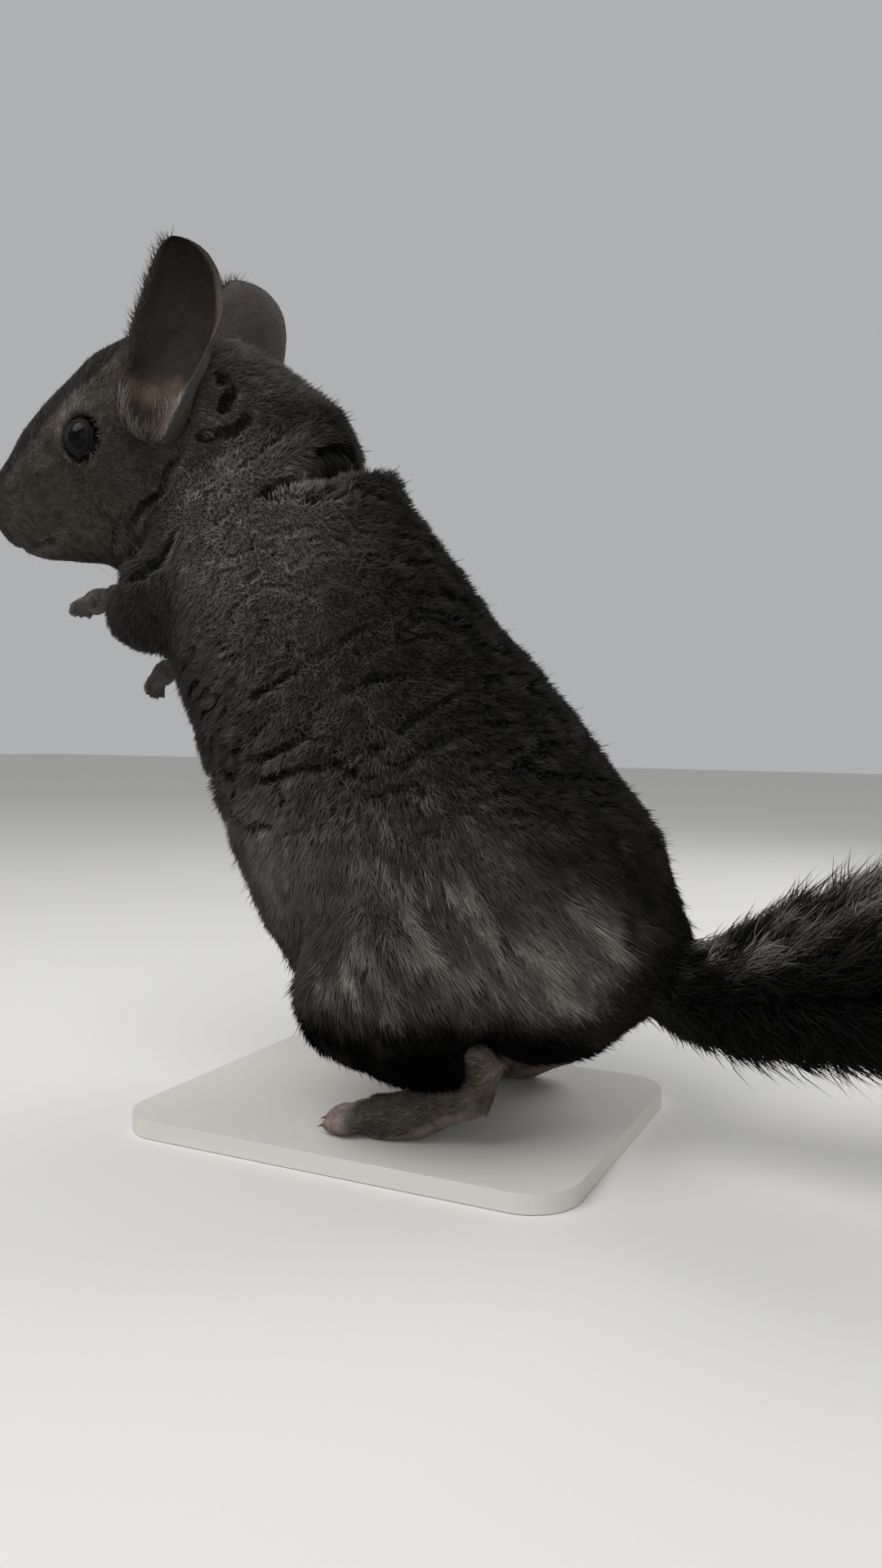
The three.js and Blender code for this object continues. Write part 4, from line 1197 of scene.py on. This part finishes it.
def hairs(name, starts, ways, sizes, thick, sag, mat):
    """Long hairs or claws: three-sided tapering tubes along root + way times t, sagging by t squared."""
    starts, ways, sizes = np.array(starts), np.array(ways), np.array(sizes)
    t = np.linspace(0, 1, 9)
    line = starts[:, None, :] + ways[:, None, :] * (sizes[:, None] * t)[..., None]
    line = line + sag[:, None, :] * (t**2)[None, :, None]
    side = unit(np.cross(ways, [0.13, 0.2, 1.0]))
    other = unit(np.cross(ways, side))
    rings = []
    for k in range(3):
        turnabout = 2 * math.pi * k / 3
        around_way = side * math.cos(turnabout) + other * math.sin(turnabout)
        rings.append(line + around_way[:, None, :] * (thick * (1.02 - t))[None, :, None])
    places = np.stack(rings, 2).reshape(-1, 3)
    one = grid_faces(9, 3, True)
    faces = (np.arange(len(starts))[:, None, None] * 27 + one[None]).reshape(-1, 4)
    obj = piece(name, places, faces)
    obj.data.materials.append(mat)
    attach(obj, "root")
    return obj


starts, ways, sizes = [], [], []
for m in (1, -1):
    for row in range(4):
        for n in range(5):
            out = m * (11.5 + 1.6 * n - 0.3 * row)
            starts.append(in_head(60 - 3.2 * n - row, out, -3 - 3.2 * row + 0.5 * n))
            ways.append(unit(head_way(-0.25 - 0.22 * n, m * 1.0, 0.28 - 0.26 * row)))
            sizes.append(RNG.uniform(20, 34) + 3 * n)
sag = RNG.normal(0, 2, (len(starts), 3)) + [0, 3, -5]
hairs("whiskers", starts, ways, sizes, 0.11, sag, WHISKER)

# Small claws: three long toes on each hind foot, four fingers on each hand
starts, ways, sizes = [], [], []
for foot_x, foot_y in ((33, -17), (-33, -8)):
    for n in (-1, 0, 1):
        starts.append([foot_x + 5.5 * n, foot_y - (8.8 if n == 0 else 6.3), 2.6])
        ways.append(unit(np.array([0.08 * n, -1, -0.25])))
        sizes.append(2.4)
for _, wrist, reach_way, palm in HANDS:
    out = unit(np.array(reach_way))
    down_way = unit(np.array(palm) - out * (np.array(palm) @ out))
    for n in (-1.5, -0.5, 0.5, 1.5):
        spot = wrist + out * (13.2 - abs(n)) + np.cross(out, down_way) * n * 2.7 + down_way * 1.2
        starts.append(spot)
        ways.append(unit(out * 0.8 + down_way * 0.6))
        sizes.append(1.9)
hairs("claws", starts, ways, sizes, 0.6, np.tile([0, 0, -0.5], (len(starts), 1)), CLAW)

# The board under the feet keeps its CAD shape
for board_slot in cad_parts["stand_base"].material_slots:
    board_slot.material = BOARD

# Floor, light and camera
corners = np.array([[-4000, -4000, 0], [4000, -4000, 0], [4000, 4000, 0], [-4000, 4000, 0]])
floor = piece("floor", corners - [0, 0, ORIGIN[2] + 0.2], [[0, 1, 2, 3]])
floor.data.materials.append(FLOOR)


def area_light(name, place, target, size, power, colour=(1, 1, 1)):
    data = bpy.data.lights.new(name, "AREA")
    data.shape = "DISK"
    data.size, data.energy, data.color = size, power, colour
    obj = bpy.data.objects.new(name, data)
    bpy.context.scene.collection.objects.link(obj)
    obj.location = in_frame(place)
    aim = (in_frame(target) - in_frame(place)).astype(float)
    obj.rotation_euler = Matrix([list(a) for a in np.column_stack(look_axes(aim))]).to_euler()
    return obj


def look_axes(aim):
    """Right, up and back axes of something that looks along aim."""
    back = -unit(aim)
    right = unit(np.cross([0, 0, 1.0], back))
    return right, np.cross(back, right), back


area_light("key", (450, -250, 800), (0, -10, 110), 0.7, 5.5)
area_light("fill", (750, 450, 300), (0, 0, 110), 0.9, 1.5)
area_light("rim", (-600, 300, 600), (0, 0, 120), 0.6, 2.5)
world = bpy.data.worlds.new("studio")
bpy.context.scene.world = world
world.use_nodes = True
world.node_tree.nodes["Background"].inputs["Color"].default_value = (0.86, 0.87, 0.88, 1)
world.node_tree.nodes["Background"].inputs["Strength"].default_value = 0.5

# The camera stands to the left and a little behind, at shoulder height
YAW, PITCH, ROLL = math.radians(25), math.radians(2.4), math.radians(0.8)
across0 = np.array([-math.sin(YAW), math.cos(YAW), 0])
level = np.array([-math.cos(YAW), -math.sin(YAW), 0])
ahead = level * math.cos(PITCH) - np.array([0, 0, 1]) * math.sin(PITCH)
above0 = np.array([0, 0, 1]) * math.cos(PITCH) + level * math.sin(PITCH)
across = across0 * math.cos(ROLL) + above0 * math.sin(ROLL)
above = np.cross(across, ahead)
data = bpy.data.cameras.new("camera")
data.lens, data.sensor_width = 25.875, 36
data.clip_start, data.clip_end = 0.01, 50
camera = bpy.data.objects.new("camera", data)
bpy.context.scene.collection.objects.link(camera)
pose = Matrix.Identity(4)
for k, axis in enumerate((across, above, -ahead)):
    for row in range(3):
        pose[row][k] = float(axis[row])
pose.translation = in_frame((294.0, 128.6, 106.0))
camera.matrix_world = pose
bpy.context.scene.camera = camera
bpy.context.scene.view_settings.view_transform = "Standard"
